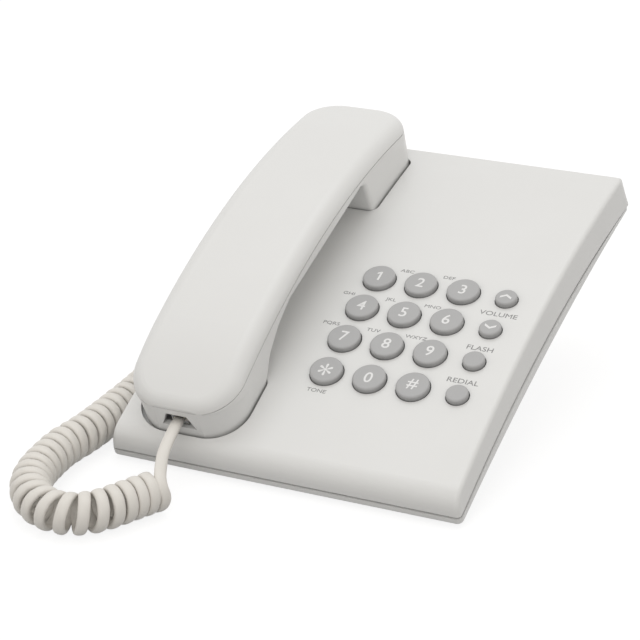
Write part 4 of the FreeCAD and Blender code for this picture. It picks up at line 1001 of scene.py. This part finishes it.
knob_half = 0.0020
knob_thick = 0.0013
knob_black = moulded("knob_black", (0.032, 0.032, 0.034), (0.045, 0.045, 0.046), 0.38, 0.0002, 0.000015, 0.3,
                     cloud=0.005)
rear_draft = math.tan(math.radians(7.5))
switch_high = 0.0056
upright = Matrix(((1.0, 0.0, 0.0, 0.0), (0.0, 0.0, 1.0, 0.0), (0.0, 1.0, 0.0, 0.0), (0.0, 0.0, 0.0, 1.0)))
for name, body, across in (("ringer_switch", "ringer_slider", -0.024),
                           ("dial_mode_switch", "dial_mode_slider", 0.004)):
    shape = bmesh.new()
    prism(shape, oblong(0.0040, 0.0026), 0.0026, 0.0043, 0.0002, upright)
    prism(shape, oblong(knob_half, knob_thick), -0.0007, 0.0028, 0.00015, upright)
    for rib in (-0.0015, -0.0005, 0.0005, 0.0015):
        prism(shape, oblong(0.00022, knob_thick, rib), -0.0012, -0.0005, 0.0001, upright)
    place = on_slab(across, 0.1 - switch_high * rear_draft, switch_high)
    made = made_piece(name + "_knob", shape, set_of_axes(place, -rightward, -slab_back, slab_up),
                      knob_black, body)
    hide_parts(name)


rear_letter_height = 0.0014


def behind_wall(across, height):
    """Where a print on the rear wall starts its way in, for a point of its flat outline."""
    return lambda x, y: on_slab(across - x, 0.13, height + y)


for words, across, height in (("RINGER", -0.024, 0.0092), ("OFF", -0.0320, 0.0056),
                              ("HI", -0.0165, 0.0056), ("DIALING", 0.004, 0.0092),
                              ("PULSE", -0.0047, 0.0056), ("TONE", 0.0123, 0.0056),
                              ("LINE", 0.0310, 0.0056)):
    printed("rear_" + words, lettering(words, rear_letter_height), behind_wall(across, height),
            -slab_back, face, word_ink, "base")


# Circuit board and what lies on it. A green coated laminate with copper tracks, a grey silicone
# sheet under the keys, the hook switch's black case and the ringer's thin brass disc.

board_green = (0.030, 0.150, 0.065)
board_laminate, tree, shader = new_finish("board_laminate", board_green, 0.32)
tracks = node(tree, "ShaderNodeTexBrick", offset=0.37)
tracks.inputs["Scale"].default_value = 160.0
tracks.inputs["Mortar Size"].default_value = 0.035
tracks.inputs["Color1"].default_value = (*board_green, 1.0)
tracks.inputs["Color2"].default_value = (0.034, 0.170, 0.072, 1.0)
tracks.inputs["Mortar"].default_value = (0.070, 0.270, 0.120, 1.0)
where = node(tree, "ShaderNodeTexCoord")
link(tree, where.outputs["Object"], tracks.inputs["Vector"])
clouds = use_group(tree, cloudiness, Size=0.02)
link(tree, mixed(tree, ranged(tree, clouds.outputs["Tone"], 0.0, 0.4), tracks.outputs["Color"],
                 (0.045, 0.120, 0.055, 1.0)), shader.inputs["Base Color"])
link(tree, ranged(tree, clouds.outputs["Gloss"], 0.24, 0.40), shader.inputs["Roughness"])
bump(tree, shader, tracks.outputs["Fac"], 0.00004)
finish_nodes(board_laminate, "main_circuit_board")
silicone = rubber("silicone_sheet", (0.30, 0.30, 0.31), (0.36, 0.36, 0.36))
finish_nodes(silicone, "keypad_membrane")
finish_nodes(jack_black, "hook_switch")
ringer_brass = plated("ringer_brass", (0.74, 0.58, 0.28), (0.66, 0.48, 0.22), 0.34)
finish_nodes(ringer_brass, "ringer_disc")


# Inside the handset. The earpiece speaker and the microphone are small steel cans seated in black
# rubber, and a plated steel bar in the handle gives the handset its weight.

seat_rubber = rubber("seat_rubber", (0.045, 0.045, 0.046), (0.070, 0.068, 0.066))
finish_nodes(seat_rubber, "earpiece_gasket", "microphone_boot")
finish_nodes(zinc_plate, "earpiece_speaker", "microphone", "handset_weight")
